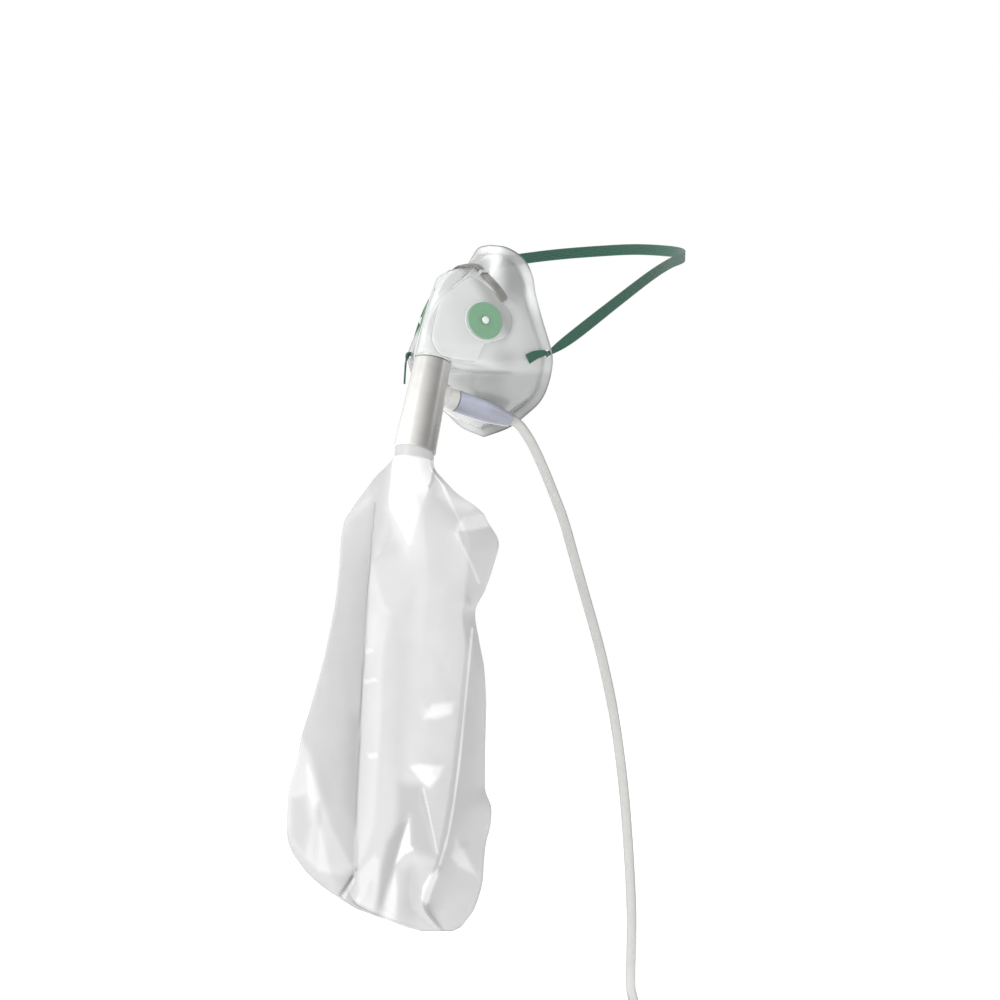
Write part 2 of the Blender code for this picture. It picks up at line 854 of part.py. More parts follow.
def strap_hole(side):
    """Middle of a strap hole, the way forward through it, and the way out to the edge."""
    t = 6.1
    edge = flange_line(t)
    foot = wall_foot(t)
    point = edge.lerp(foot, 0.48)
    across = (edge - foot).normalized()
    up = Vector((0.0, 0.0, 1.0))
    through = across.cross(up).normalized()
    if through.y > 0:
        through = -through
    point = point - through * (shell_wall / 2)
    flip = Vector((side, 1.0, 1.0))
    return point * flip, through * flip, across * flip


strap_route = [(0.0600, 0.0170, 0.0110), (0.0710, 0.0500, 0.0325), (0.0755, 0.0845, 0.0500),
               (0.0725, 0.1130, 0.0585), (0.0620, 0.1460, 0.0630), (0.0470, 0.1660, 0.0660),
               (0.0250, 0.1785, 0.0680)]
strap_back = (0.0, 0.1825, 0.0690)
tail_out = (0.81, -0.59, 0.0)
left_tail = [(-0.0006, -0.0042, 0.0002), (-0.0040, -0.0084, -0.0012), (-0.0068, -0.0126, -0.0036)]
right_tail = [(-0.0004, -0.0046, -0.0040), (-0.0008, -0.0052, -0.0110), (-0.0012, -0.0054, -0.0190)]
hole_reach = 0.0016
hole_turn = 0.0034


def strap_side(side, tail):
    """Stops of one half of the strap, from its tail to the back of the head."""
    hole, through, across = strap_hole(side)
    centre = Vector((0.0, 0.5 * strap_back[1], 0.0))
    flat_out = Vector((side * tail_out[0], tail_out[1], tail_out[2]))
    stops = [(hole + Vector(tail[2]), 0.95 * strap_width, strap_thickness, flat_out),
             (hole + Vector(tail[1]), 0.85 * strap_width, strap_thickness, flat_out),
             (hole + Vector(tail[0]), 0.60 * strap_width, strap_thickness, flat_out)]
    for reach in (hole_reach, -hole_reach):
        stops.append((hole + through * reach, strap_gather_width, strap_gather_thickness, across))
    stops.append((hole - through * hole_turn + across * (0.3 * hole_turn),
                  0.6 * strap_width, strap_thickness, across))
    for place in strap_route:
        point = Vector((side * place[0], place[1], place[2]))
        out = point - centre
        out.z = 0.0
        stops.append((point, strap_width, strap_thickness, out.normalized()))
    return stops


def strap_path():
    """Middle points of the strap, with its width, thickness and outward direction at each."""
    back = (Vector(strap_back), strap_width, strap_thickness, Vector((0.0, 1.0, 0.0)))
    return strap_side(1, left_tail) + [back] + strap_side(-1, right_tail)[::-1]


def build_strap(group, material):
    """Elastic band: a sweep whose section narrows where it gathers in the holes."""
    stops = strap_path()
    places = [stop[0] for stop in stops]
    sizes = [Vector((stop[1], stop[2], 0.0)) for stop in stops]
    outs = [stop[3] for stop in stops]
    rings = []
    per_span = 3
    total = (len(stops) - 1) * per_span
    for i in range(total + 1):
        t = i / per_span
        point = line_through(places, t)
        ahead = line_through(places, min(t + 0.05, len(stops) - 1.0))
        behind = line_through(places, max(t - 0.05, 0.0))
        along = (ahead - behind).normalized()
        size = line_through(sizes, t)
        out = line_through(outs, t)
        side = along.cross(out).normalized()
        lift = side.cross(along).normalized()
        half = side * (size.x / 2)
        rise = lift * (size.y / 2)
        rings.append([point + half + rise, point - half + rise, point - half - rise,
                      point + half - rise])
    data = closed_loft("head_strap", rings)
    return add_object("head_strap", data, group, material)


def strap_cutters(group):
    items = []
    for side in (1, -1):
        hole, through, across = strap_hole(side)
        data = bpy.data.meshes.new("strap_hole")
        work = bmesh.new()
        bmesh.ops.create_cone(work, cap_ends=True, segments=16, radius1=strap_hole_radius,
                              radius2=strap_hole_radius, depth=6 * shell_wall)
        work.to_mesh(data)
        work.free()
        item = add_object(f"strap_hole_{side}", data, group)
        item.matrix_world = axis_place(hole, through)
        items.append(item)
    return items


# Reservoir bag. Each line runs down it. Stops are shares of its length, places are shares of its
# width from the middle of the neck, and depths are shares of its depth towards the front.

seam_stops = [0.000, 0.033, 0.085, 0.125, 0.148, 0.187, 0.233, 0.289, 0.331, 0.393, 0.446, 0.521,
              0.593, 0.643, 0.705, 0.738, 0.777, 0.813, 0.849, 0.898, 0.951, 0.987, 1.000]
seam_right = [-0.093, -0.155, -0.242, -0.308, -0.340, -0.354, -0.360, -0.372, -0.387, -0.415,
              -0.444, -0.493, -0.545, -0.568, -0.607, -0.615, -0.619, -0.612, -0.568, -0.464,
              -0.276, -0.044, 0.069]
seam_left = [0.093, 0.099, 0.198, 0.325, 0.362, 0.414, 0.392, 0.347, 0.300, 0.318, 0.342, 0.352,
             0.349, 0.347, 0.349, 0.377, 0.373, 0.352, 0.342, 0.332, 0.292, 0.228, 0.162]
fold_stops = [0.000, 0.098, 0.187, 0.233, 0.295, 0.331, 0.393, 0.521, 0.662, 0.767, 0.856, 0.941,
              1.000]
valley_place = [-0.069, -0.185, -0.208, -0.222, -0.231, -0.238, -0.246, -0.256, -0.277, -0.286,
                -0.291, -0.288, 0.100]
brow_place = [-0.038, -0.100, -0.108, -0.200, -0.169, -0.131, -0.119, -0.119, -0.123, -0.131,
              -0.146, -0.154, 0.112]
crest_place = [0.031, 0.062, 0.077, 0.092, 0.092, 0.085, 0.077, 0.069, 0.054, 0.031, 0.008,
               -0.008, 0.123]
pleat_place = [0.069, 0.169, 0.277, 0.285, 0.269, 0.273, 0.278, 0.250, 0.214, 0.174, 0.125,
               0.055, 0.138]
pleat_step = 0.017
depth_stops = [0.000, 0.098, 0.230, 0.393, 0.656, 0.820, 0.951, 1.000]
seam_right_depth = [0.000, 0.042, 0.104, 0.146, 0.146, 0.104, 0.042, 0.000]
valley_depth = [0.167, 0.125, 0.042, 0.000, -0.021, 0.021, 0.021, 0.033]
brow_depth = [0.229, 0.271, 0.104, 0.292, 0.354, 0.312, 0.125, 0.042]
crest_depth = [0.229, 0.354, 0.438, 0.479, 0.521, 0.417, 0.167, 0.050]
pleat_depth = [0.188, 0.250, 0.354, 0.438, 0.500, 0.458, 0.250, 0.050]
under_depth = [0.188, 0.250, 0.312, 0.271, 0.292, 0.250, 0.125, 0.033]
seam_left_depth = [0.000, 0.042, 0.062, 0.062, 0.042, 0.042, 0.021, 0.000]
back_depth = [0.250, 0.292, 0.354, 0.375, 0.417, 0.333, 0.125, 0.050]

# Lesser folds of the front sheet: points, height, and width to the right and the left of the line
bag_folds = [
    ([(0.328, 0.110), (0.226, 0.169), (0.338, 0.290)], 0.075, 0.035, 0.110),
    ([(-0.004, 0.740), (-0.073, 0.859), (-0.152, 0.977)], -0.104, 0.080, 0.055),
    ([(-0.538, 0.600), (-0.462, 0.770), (-0.375, 0.930)], 0.083, 0.080, 0.080),
]

# Points of the front sheet between its lines, and of the back sheet
panel_puff = 0.05
sheet_parts = [5, 3, 3, 4, 1, 4]
back_parts = 12
bag_rings = 52
outer_end = 0.993
inner_end = 0.988
least_panel = 0.03
film_share = 0.3


def bag_value(stops, values, share):
    """Value of one of the bag's lines at a share of its length."""
    k = 0
    while k < len(stops) - 2 and share > stops[k + 1]:
        k += 1
    f = min(max((share - stops[k]) / (stops[k + 1] - stops[k]), 0.0), 1.0)
    return line_through([(value, 0.0, 0.0) for value in values], k + f).x


def eased(value):
    value = min(max(value, 0.0), 1.0)
    return value * value * (3 - 2 * value)


def front_marks(share):
    """Place and depth of each line of the front sheet, from the right seam to the left one."""
    right = bag_value(seam_stops, seam_right, share)
    left = bag_value(seam_stops, seam_left, share)
    pleat = bag_value(fold_stops, pleat_place, share)
    places = [right, bag_value(fold_stops, valley_place, share),
              bag_value(fold_stops, brow_place, share), bag_value(fold_stops, crest_place, share),
              pleat, pleat + pleat_step, left]
    depths = [seam_right_depth, valley_depth, brow_depth, crest_depth, pleat_depth, under_depth,
              seam_left_depth]
    least = least_panel * (left - right)
    marks = []
    for k, (place, depth) in enumerate(zip(places, depths)):
        if 0 < k < len(places) - 1:
            place = min(max(place, right + least * k), left - least * (len(places) - 1 - k))
            place = max(place, marks[-1][0] / bag_width + 0.1 * least)
        marks.append((place * bag_width, bag_value(depth_stops, depth, share) * bag_depth))
    return marks


def fold_height(fold, place, down):
    """Height of one lesser fold: a sharp line that fades to both sides and towards its ends."""
    points, height, before, past = fold
    points = [(a * bag_width, b * bag_length) for a, b in points]
    nearest = None
    for k, (a, b) in enumerate(zip(points, points[1:])):
        way = (b[0] - a[0], b[1] - a[1])
        long = math.hypot(*way)
        f = ((place - a[0]) * way[0] + (down - a[1]) * way[1]) / long ** 2
        f = min(max(f, 0.0), 1.0)
        off = (place - a[0] - way[0] * f, down - a[1] - way[1] * f)
        away = math.hypot(*off)
        if nearest is None or away < nearest[0]:
            nearest = (away, off[0] * way[1] - off[1] * way[0], (k + f) / (len(points) - 1))
    away, turn, share = nearest
    width = (before if turn < 0 else past) * bag_width
    fade = eased(4 * share) * eased(4 * (1 - share))
    return height * bag_depth * fade * math.exp(-away / width)


def front_sheet(share, marks):
    """Points across the front sheet, from the right seam to short of the left one."""
    sheet = []
    for (ax, ay), (bx, by), parts in zip(marks, marks[1:], sheet_parts):
        for i in range(parts):
            f = i / parts
            place = ax + (bx - ax) * f
            depth = ay + (by - ay) * f + 4 * f * (1 - f) * panel_puff * (bx - ax)
            room = eased(8 * (place - marks[0][0]) / bag_width)
            room *= eased(8 * (marks[-1][0] - place) / bag_width)
            for fold in bag_folds:
                depth += room * fold_height(fold, place, share * bag_length)
            sheet.append((place, depth))
    return sheet


def back_sheet(share, marks):
    """Points across the back sheet, from the left seam to short of the right one."""
    (right, right_depth), (left, left_depth) = marks[0], marks[-1]
    hollow = bag_value(depth_stops, back_depth, share) * bag_depth
    sheet = []
    for k in range(back_parts):
        v = math.cos(math.pi * k / back_parts)
        f = (v + 1) / 2
        depth = right_depth + (left_depth - right_depth) * f
        sheet.append((right + (left - right) * f, depth - hollow * (1 - abs(v) ** 2.4) ** 0.6))
    return sheet


def height_at(sheet, place):
    """Depth of a sheet at a place across it."""
    for (ax, ay), (bx, by) in zip(sheet, sheet[1:]):
        if place <= bx:
            return ay + (by - ay) * (place - ax) / (bx - ax)
    return sheet[-1][1]


def bag_ring(share, inset):
    """Ring of the bag. The inner face lies inside by the inset, or less where the bag is thin."""
    marks = front_marks(share)
    front = front_sheet(share, marks)
    back = back_sheet(share, marks)
    front_line_up = front + [marks[-1]]
    back_line_up = [marks[0]] + back[::-1]
    ring = []
    for k, (place, depth) in enumerate(front + back):
        thick = height_at(front_line_up, place) - height_at(back_line_up, place)
        shift = min(inset, film_share * thick)
        if k == 0:
            place += inset
        elif k == len(front):
            place -= inset
        else:
            depth += shift if k > len(front) else -shift
        ring.append((place, depth))
    return ring


def bag_points(share, inset):
    """World points of a ring. Near the neck the ring is round and square to the port's axis."""
    end = port_frame() @ Vector((0.0, 0.0, -body_length))
    axis = port_frame().to_3x3() @ Vector((0.0, 0.0, 1.0))
    turn = Matrix.Rotation(math.radians(bag_turn), 3, "Z")
    down = share * bag_length
    blend = eased(down / bag_neck_blend)
    lean = Matrix.Rotation(-math.radians(port_lean) * (1 - blend), 3, "X")
    centre = end - Vector((0.0, 0.0, down))
    if down < 0:
        centre = end - axis * down
    neck_radius = neck_seat_radius - gap - inset
    fronts = sum(sheet_parts)
    points = []
    for k, (place, depth) in enumerate(bag_ring(max(share, 0.0), inset)):
        angle = math.pi * (k / fronts - 1)
        if k > fronts:
            angle = math.pi * (k - fronts) / back_parts
        round_off = Vector((math.cos(angle), math.sin(angle), 0.0)) * neck_radius
        flat = round_off.lerp(Vector((place, -depth, 0.0)), blend)
        points.append(centre + lean @ turn @ flat)
    return points


def build_bag(group, material):
    """Film bag, open at its neck, with an outer and an inner face."""
    shares = [-bag_neck_insert / bag_length, 0.0]
    shares += [outer_end * (i / bag_rings) ** 1.1 for i in range(1, bag_rings + 1)]
    rings = [bag_points(share, 0.0) for share in shares]
    rings += [bag_points(min(share, inner_end), bag_film) for share in shares]
    points = [p for ring in rings for p in ring]
    count = len(rings[0])
    rows = len(shares)
    offset = rows * count
    faces = []
    for r in range(rows - 1):
        for k in range(count):
            a = r * count + k
            b = r * count + (k + 1) % count
            faces.append((a, a + count, b + count, b))
            faces.append((a + offset, b + offset, b + count + offset, a + count + offset))
    for k in range(count):
        b = (k + 1) % count
        faces.append((k, b, b + offset, k + offset))
    end = (rows - 1) * count
    faces.append(tuple(range(end, end + count))[::-1])
    faces.append(tuple(range(end + offset, end + offset + count)))
    data = mesh_from("reservoir_bag", points, faces)
    return add_object("reservoir_bag", data, group, material)


def build_neck_ring(group, material):
    """Ring inside the bag's neck that holds the film in the connector's end."""
    outer = neck_seat_radius - 2 * gap - bag_film
    inner = outer - neck_ring_wall
    low = -body_length + neck_ring_lift
    profile = [(outer, low + neck_ring_length), (outer, low), (inner, low),
               (inner, low + neck_ring_length)]
    return turned("bag_neck_ring", profile, group, material, steps=36, place=port_frame())


# Oxygen tubing. It falls from the inlet cuff to the coil, whose turns take up the rest of it.

coil_radius = (tubing_length - coil_free_run) / (2 * math.pi * coil_turns)
coil_top = coil_floor + 2 * coil_high * tubing_radius
tubing_route = [(0.0375, 0.0010, -0.0475), (0.0432, 0.0100, -0.0560), (0.0490, 0.0170, -0.0690),
                (0.0540, 0.0220, -0.0850), (0.0590, 0.0260, -0.1040), (0.0645, 0.0285, -0.1290),
                (0.0690, 0.0300, -0.1550), (0.0760, 0.0310, -0.1900), (0.0830, 0.0315, -0.2300),
                (0.0890, 0.0315, -0.2750), (0.0935, 0.0310, -0.3200), (0.0965, 0.0295, -0.3600)]


def build_tubing(group, material):
    """Free run of the tubing, from the inlet cuff to the coil."""
    start, way = tubing_start()
    points = [start, start + way * (tubing_socket_depth + 0.004)]
    points += [Vector(p) for p in tubing_route]
    rest = coil_top + tubing_radius + gap
    for k in range(5):
        angle = math.radians(22.5 * k)
        points.append(Vector((coil_centre[0] + coil_radius,
                              coil_centre[1] - arrival_bend * math.cos(angle),
                              rest + arrival_bend * (1.0 - math.sin(angle)))))
    dense = [line_through(points, i / 40) for i in range((len(points) - 1) * 40 + 1)]
    wanted = tubing_spacing * 2 * tubing_radius
    chosen = [dense[0]]
    run = 0.0
    for a, b in zip(dense, dense[1:]):
        run += (b - a).length
        if run >= wanted:
            chosen.append(b)
            run = 0.0
    if (dense[-1] - chosen[-1]).length < wanted / 2:
        chosen.pop()
    chosen.append(dense[-1])
    curve = bpy.data.curves.new("oxygen_tubing", "CURVE")
    curve.dimensions = "3D"
    curve.bevel_depth = tubing_radius
    curve.bevel_resolution = 2
    curve.use_fill_caps = True
    spline = curve.splines.new("POLY")
    spline.points.add(len(chosen) - 1)
    for point, place in zip(spline.points, chosen):
        point.co = (*place, 1.0)
    return add_object("oxygen_tubing", curve, group, material)


def build_coil(group, material):
    """Outer shape of the wound tubing: a turned ring."""
    half = coil_across * tubing_radius
    high = 2 * coil_high * tubing_radius
    round_off = tubing_radius
    profile = []
    for centre_r, centre_z, first in ((coil_radius + half - round_off, high - round_off, 90),
                                      (coil_radius + half - round_off, round_off, 0),
                                      (coil_radius - half + round_off, round_off, -90),
                                      (coil_radius - half + round_off, high - round_off, -180)):
        for k in range(3):
            angle = math.radians(first - 45 * k)
            profile.append((centre_r + round_off * math.cos(angle),
                            centre_z + round_off * math.sin(angle)))
    place = Matrix.Translation((coil_centre[0], coil_centre[1], coil_floor))
    return turned("tubing_coil", profile, group, material, steps=32, place=place)


def build_tie(group, material):
    """Band round the coil."""
    half = coil_across * tubing_radius + gap
    top = 2 * coil_high * tubing_radius + gap
    wide = half + tie_wall
    inner = [(-half, -gap), (half, -gap), (half, top), (-half, top)]
    outer = [(-wide, -gap - tie_wall), (wide, -gap - tie_wall), (wide, top + tie_wall),
             (-wide, top + tie_wall)]
    work = bmesh.new()
    loops = []
    for shape in (outer, inner):
        for end in (-0.5, 0.5):
            loops.append([work.verts.new((a, end * tie_width, b)) for a, b in shape])
    outer_a, outer_b, inner_a, inner_b = loops
    for k in range(4):
        n = (k + 1) % 4
        work.faces.new((outer_a[k], outer_a[n], outer_b[n], outer_b[k]))
        work.faces.new((inner_a[n], inner_a[k], inner_b[k], inner_b[n]))
        work.faces.new((outer_a[n], outer_a[k], inner_a[k], inner_a[n]))
        work.faces.new((outer_b[k], outer_b[n], inner_b[n], inner_b[k]))
    bmesh.ops.recalc_face_normals(work, faces=work.faces)
    data = bpy.data.meshes.new("tubing_tie")
    work.to_mesh(data)
    work.free()
    tie = add_object("tubing_tie", data, group, material)
    spot = Matrix.Translation((coil_centre[0], coil_centre[1], coil_floor))
    turn = Matrix.Rotation(math.radians(tie_turn), 4, "Z")
    tie.matrix_world = spot @ turn @ Matrix.Translation((coil_radius, 0.0, 0.0))
    return tie


def build_supply_cuff(group, material):
    """Cuff at the far end of the tubing, lying on the coil."""
    place = axis_place((coil_centre[0] + 0.5 * cuff_length, coil_centre[1] - coil_radius,
                        coil_top + gap + cuff_radius), (-1.0, 0.0, 0.0))
    profile = cuff_profile(inlet_nipple_radius, inlet_nipple_length)
    return turned("supply_cuff", profile, group, material, steps=24, place=place)


def build():
    clear_scene()
    mask = make_collection("oxygen_mask")
    tools = make_collection("mask_tools")

    vinyl = make_material("clear_vinyl", (0.86, 0.88, 0.87), 0.12, alpha=0.35)
    film = make_material("bag_film", (0.84, 0.85, 0.85), 0.18, alpha=0.6)
    moulded = make_material("clear_moulding", (0.80, 0.81, 0.80), 0.15, alpha=0.6)
    silicone = make_material("green_silicone", (0.22, 0.42, 0.28), 0.45)
    pale = make_material("pale_silicone", (0.75, 0.77, 0.75), 0.45)
    lilac = make_material("lilac_vinyl", (0.42, 0.43, 0.60), 0.2, alpha=0.8)
    tube = make_material("tubing_vinyl", (0.72, 0.72, 0.70), 0.2, alpha=0.7)
    elastic = make_material("green_elastic", (0.03, 0.13, 0.09), 0.85)
    alloy = make_material("soft_alloy", (0.45, 0.45, 0.43), 0.35, metallic=1.0)
    band = make_material("white_band", (0.80, 0.80, 0.80), 0.5)

    panels = [valve_panel("valve_panel_left", 1, tools),
              valve_panel("valve_panel_right", -1, tools)]
    seats = [valve_seat("valve_seat_left", 1, tools), valve_seat("valve_seat_right", -1, tools)]
    extras = [join_as_tool("shell_panels", panels, tools),
              join_as_tool("shell_extras", seats + [port_socket(tools)] + clip_keepers(tools),
                           tools)]
    holes = vent_cutters("vent_left", 1, tools) + vent_cutters("vent_right", -1, tools)
    holes += [port_cutter(tools)] + strap_cutters(tools)
    cutters = join_as_tool("shell_cutters", holes, tools)

    shell = build_shell(mask, vinyl, extras, cutters)
    smooth_by_angle(shell)
    build_valve_disc("valve_disc_left", 1, mask, silicone)
    build_valve_disc("valve_disc_right", -1, mask, silicone)
    build_nose_clip(mask, alloy)
    build_strap(mask, elastic)
    build_bag_connector(mask, tools, moulded)
    build_inner_disc(mask, pale)
    build_neck_ring(mask, moulded)
    build_bag(mask, film)
    turned("inlet_cuff", cuff_profile(inlet_nipple_radius, inlet_nipple_length), mask, lilac,
           steps=28, place=inlet_cuff_frame())
    build_tubing(mask, tube)
    build_coil(mask, tube)
    build_tie(mask, band)
    build_supply_cuff(mask, lilac)
    for item in tools.objects:
        mark_as_tool(item)


build()
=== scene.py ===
"""Looks of the oxygen face mask: clear shell, valves, nose clip, strap, connector, bag and tubing.

The frame is the part's own: +Z is up, -Y is the way the wearer faces, +X is the wearer's left.
Lengths are in metres, and in the tables of the film's tones in millimetres.
"""

import math

import bmesh
import bpy
from mathutils import Matrix, Vector, noise
from mathutils.bvhtree import BVHTree
from mathutils.kdtree import KDTree


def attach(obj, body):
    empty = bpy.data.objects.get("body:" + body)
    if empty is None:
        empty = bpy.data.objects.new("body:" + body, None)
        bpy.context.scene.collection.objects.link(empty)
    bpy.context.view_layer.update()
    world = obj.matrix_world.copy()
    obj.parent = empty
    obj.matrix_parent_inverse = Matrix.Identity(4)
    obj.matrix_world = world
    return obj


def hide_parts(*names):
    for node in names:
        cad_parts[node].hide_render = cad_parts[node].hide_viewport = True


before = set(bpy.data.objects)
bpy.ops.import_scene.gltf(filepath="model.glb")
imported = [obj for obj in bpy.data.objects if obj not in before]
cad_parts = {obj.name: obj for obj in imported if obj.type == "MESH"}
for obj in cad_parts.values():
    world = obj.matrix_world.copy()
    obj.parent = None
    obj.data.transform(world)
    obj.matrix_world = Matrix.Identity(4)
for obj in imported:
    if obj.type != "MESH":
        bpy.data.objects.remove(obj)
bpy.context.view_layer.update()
body = "root"
mm = 0.001
up_way = Vector((0.0, 0.0, 1.0))
white = (1.0, 1.0, 1.0, 1.0)

# View of the photograph: a level camera far off, turned to the wearer's left
view_azimuth = 33.0
camera_distance = 10.0
sensor_width = 36.0
photo_width = 1000
pixels_per_metre = 1570.0
aim_right = 0.0134
aim_height = -0.0930
world_dim = 0.30
world_bright = 1.10
bright_side = (-0.80, 0.35, 0.45)
floor_half_width = 14.0
floor_glow = 0.45

# Lamps: place right of the aim, above it and towards the camera, then size and power
lamps = {
    "key": ((-1.5, 0.8, 1.2), (0.8, 1.3), 16.0),
    "side": ((1.5, 0.6, 0.2), (0.3, 1.2), 2.0),
    "top": ((0.0, 1.8, -0.3), (1.4, 1.0), 8.0),
}

# Mask shell
shell_half_width = 0.0545
shell_depth = 0.0650
shell_height = 0.1230
shell_wall = 0.0012
flange_width = 0.0066
flange_flare = 32.0
flange_marks = (0.0, 0.09, 0.18, 0.5, 0.82, 0.91)
cheek_bulge = 0.0026
columns_per_station = 8
cheek_parts = 14
panel_parts = 8
front_parts = 10
panel_rings = 9
smooth_rounds = 3

# Valves
valve_azimuth = 60.0
valve_rise = 15.0
panel_lift_front = 0.0012
panel_lift_rear = 0.0021
panel_thickness = 0.0026
disc_radius = 0.0122
disc_thickness = 0.0009
stud_radius = 0.0017
stud_head_radius = 0.0029
stud_head_height = 0.0014
seat_lip_height = 0.0006
seat_plate_height = 0.0005
seat_plate_margin = 0.0012
seat_lip_radius = 0.88 * disc_radius
vent_hole_radius = 0.0019
vent_hole_count = 8

# Port, bag connector and oxygen inlet
port_lean = 20.5
port_forward = 0.0534
port_drop = 0.0049
port_lip = 0.0004
port_bore_radius = 0.0109
port_wall = 0.0012
port_depth = 0.0100
spigot_wall = 0.0013
body_top_radius = 0.0118
body_end_radius = 0.0136
body_length = 0.0610
body_wall = 0.0013
inlet_turn = 60.0
inlet_drop = 0.0200
inlet_socket_radius = 0.0068
inlet_socket_reach = 0.0210
inlet_nipple_radius = 0.0045
inlet_nipple_reach = 0.0360
inlet_bore_radius = 0.0024

# Tubing, its cuffs and its coil
tubing_radius = 0.0032
tubing_length = 2.13
cuff_radius = 0.0071
cuff_tip_radius = 0.0044
cuff_straight = 0.0170
cuff_length = 0.0400
tubing_socket_depth = 0.0080
coil_floor = -0.4480
coil_turns = 7.67
coil_free_run = 0.4600
coil_centre = (0.0620, 0.0560)
coil_high = 3
arrival_bend = 0.0280

# Nose clip
clip_width = 0.0056
clip_thickness = 0.0008
clip_lift = 0.0009
clip_arch_height = 0.0250
clip_arch_sweep = 72.0
clip_back = -0.0105
clip_forward = 0.0030
clip_holds = 7
clip_parts = 48
clip_keeper_width = 0.0022
clip_keeper_thickness = 0.0008

# Head strap
strap_width = 0.0070
strap_thickness = 0.0010
strap_gather_width = 0.0030
strap_gather_thickness = 0.0022
strap_hole_radius = 0.0024
hole_reach = 0.0016
hole_turn = 0.0034

# Bag
bag_length = 0.3050
bag_width = 0.1300
bag_depth = 0.0480
bag_film = 0.0004
bag_turn = 25.0
bag_neck_insert = 0.0100
bag_neck_blend = 0.0180

gap = 0.0003
merge_distance = 0.00002
weld_distance = 0.000002
turn_weld_distance = 0.00001
mirror_weld_distance = 0.00005
cut_past = 0.001


def add_object(name, data, place=Matrix()):
    item = bpy.data.objects.new(name, data)
    item.matrix_world = place
    bpy.context.scene.collection.objects.link(item)
    return item


def put_camera():
    """The photograph's camera, its ways right and back, and the point it aims at."""
    turn = math.radians(view_azimuth)
    right = Vector((math.cos(turn), math.sin(turn), 0.0))
    back = Vector((math.sin(turn), -math.cos(turn), 0.0))
    aim = right * aim_right + up_way * aim_height
    data = bpy.data.cameras.new("camera")
    data.sensor_width = sensor_width
    data.lens = sensor_width * camera_distance * pixels_per_metre / photo_width
    data.clip_end = 3 * camera_distance
    place = Matrix((right, up_way, back)).transposed().to_4x4()
    place.translation = aim + back * camera_distance
    bpy.context.scene.camera = add_object("camera", data, place)
    return right, back, aim


# Node materials

def set_inputs(tree, node, inputs):
    """Other nodes' outputs are linked, and plain values are set."""
    for key, value in inputs.items():
        if isinstance(value, bpy.types.NodeSocket):
            tree.links.new(value, node.inputs[key])
        else:
            node.inputs[key].default_value = value


def add_node(tree, kind, settings=None, inputs=None):
    made = tree.nodes.new(kind)
    for key, value in (settings or {}).items():
        setattr(made, key, value)
    set_inputs(tree, made, inputs or {})
    return made


def new_material(name):
    made = bpy.data.materials.new(name)
    made.use_nodes = True
    return made, made.node_tree, made.node_tree.nodes["Principled BSDF"]


def noise_of(tree, scale, detail=3.0, stretch=(1.0, 1.0, 1.0)):
    """Noise in the part's own space."""
    place = add_node(tree, "ShaderNodeTexCoord").outputs["Object"]
    turn = add_node(tree, "ShaderNodeMapping", inputs={"Vector": place, "Scale": stretch})
    made = add_node(tree, "ShaderNodeTexNoise", inputs={
        "Vector": turn.outputs["Vector"], "Scale": scale, "Detail": detail})
    return made.outputs["Fac"]


def ranged(tree, value, low, high, start=0.0, end=1.0):
    """The value's range from start to end, spread over low to high."""
    made = add_node(tree, "ShaderNodeMapRange", inputs={
        "Value": value, "From Min": start, "From Max": end, "To Min": low, "To Max": high})
    return made.outputs["Result"]


def blended(tree, factor, low, high):
    """Colour between low and high by the factor."""
    return add_node(tree, "ShaderNodeMix", {"data_type": "RGBA"},
                    {0: factor, 6: (*low, 1.0), 7: (*high, 1.0)}).outputs[2]


def bumped(tree, height, strength, distance):
    made = add_node(tree, "ShaderNodeBump", inputs={
        "Height": height, "Strength": strength, "Distance": distance})
    return made.outputs["Normal"]


def math_of(tree, operation, *values):
    return add_node(tree, "ShaderNodeMath", {"operation": operation},
                    dict(enumerate(values))).outputs[0]


def attribute_of(tree, name):
    """Values laid on the mesh under the name."""
    return add_node(tree, "ShaderNodeAttribute", {"attribute_name": name}).outputs["Fac"]


def edge_on(tree, blend, start, end, low=0.0, high=1.0):
    """Low where the surface is seen face on, and high where it is seen edge on."""
    facing = add_node(tree, "ShaderNodeLayerWeight", inputs={"Blend": blend})
    return ranged(tree, facing.outputs["Facing"], low, high, start, end)


def mixed(tree, share, under, over):
    return add_node(tree, "ShaderNodeMixShader", inputs={0: share, 1: under, 2: over}).outputs[0]


def see_through(tree, cover, shader):
    """The shader as far as it covers, and nothing for the rest."""
    clear = add_node(tree, "ShaderNodeBsdfTransparent", inputs={"Color": white})
    return mixed(tree, cover, clear.outputs[0], shader.outputs[0])


def glossed(tree, under, normal, roughness, shine):
    """A gloss over the rest that grows towards grazing views."""
    gloss = add_node(tree, "ShaderNodeBsdfGlossy", inputs={
        "Color": white, "Roughness": roughness, "Normal": normal})
    fresnel = add_node(tree, "ShaderNodeFresnel", inputs={"IOR": 1.45})
    share = math_of(tree, "MULTIPLY", fresnel.outputs[0], shine)
    return mixed(tree, share, under, gloss.outputs[0])


def end_with(tree, surface):
    tree.links.new(surface, tree.nodes["Material Output"].inputs["Surface"])


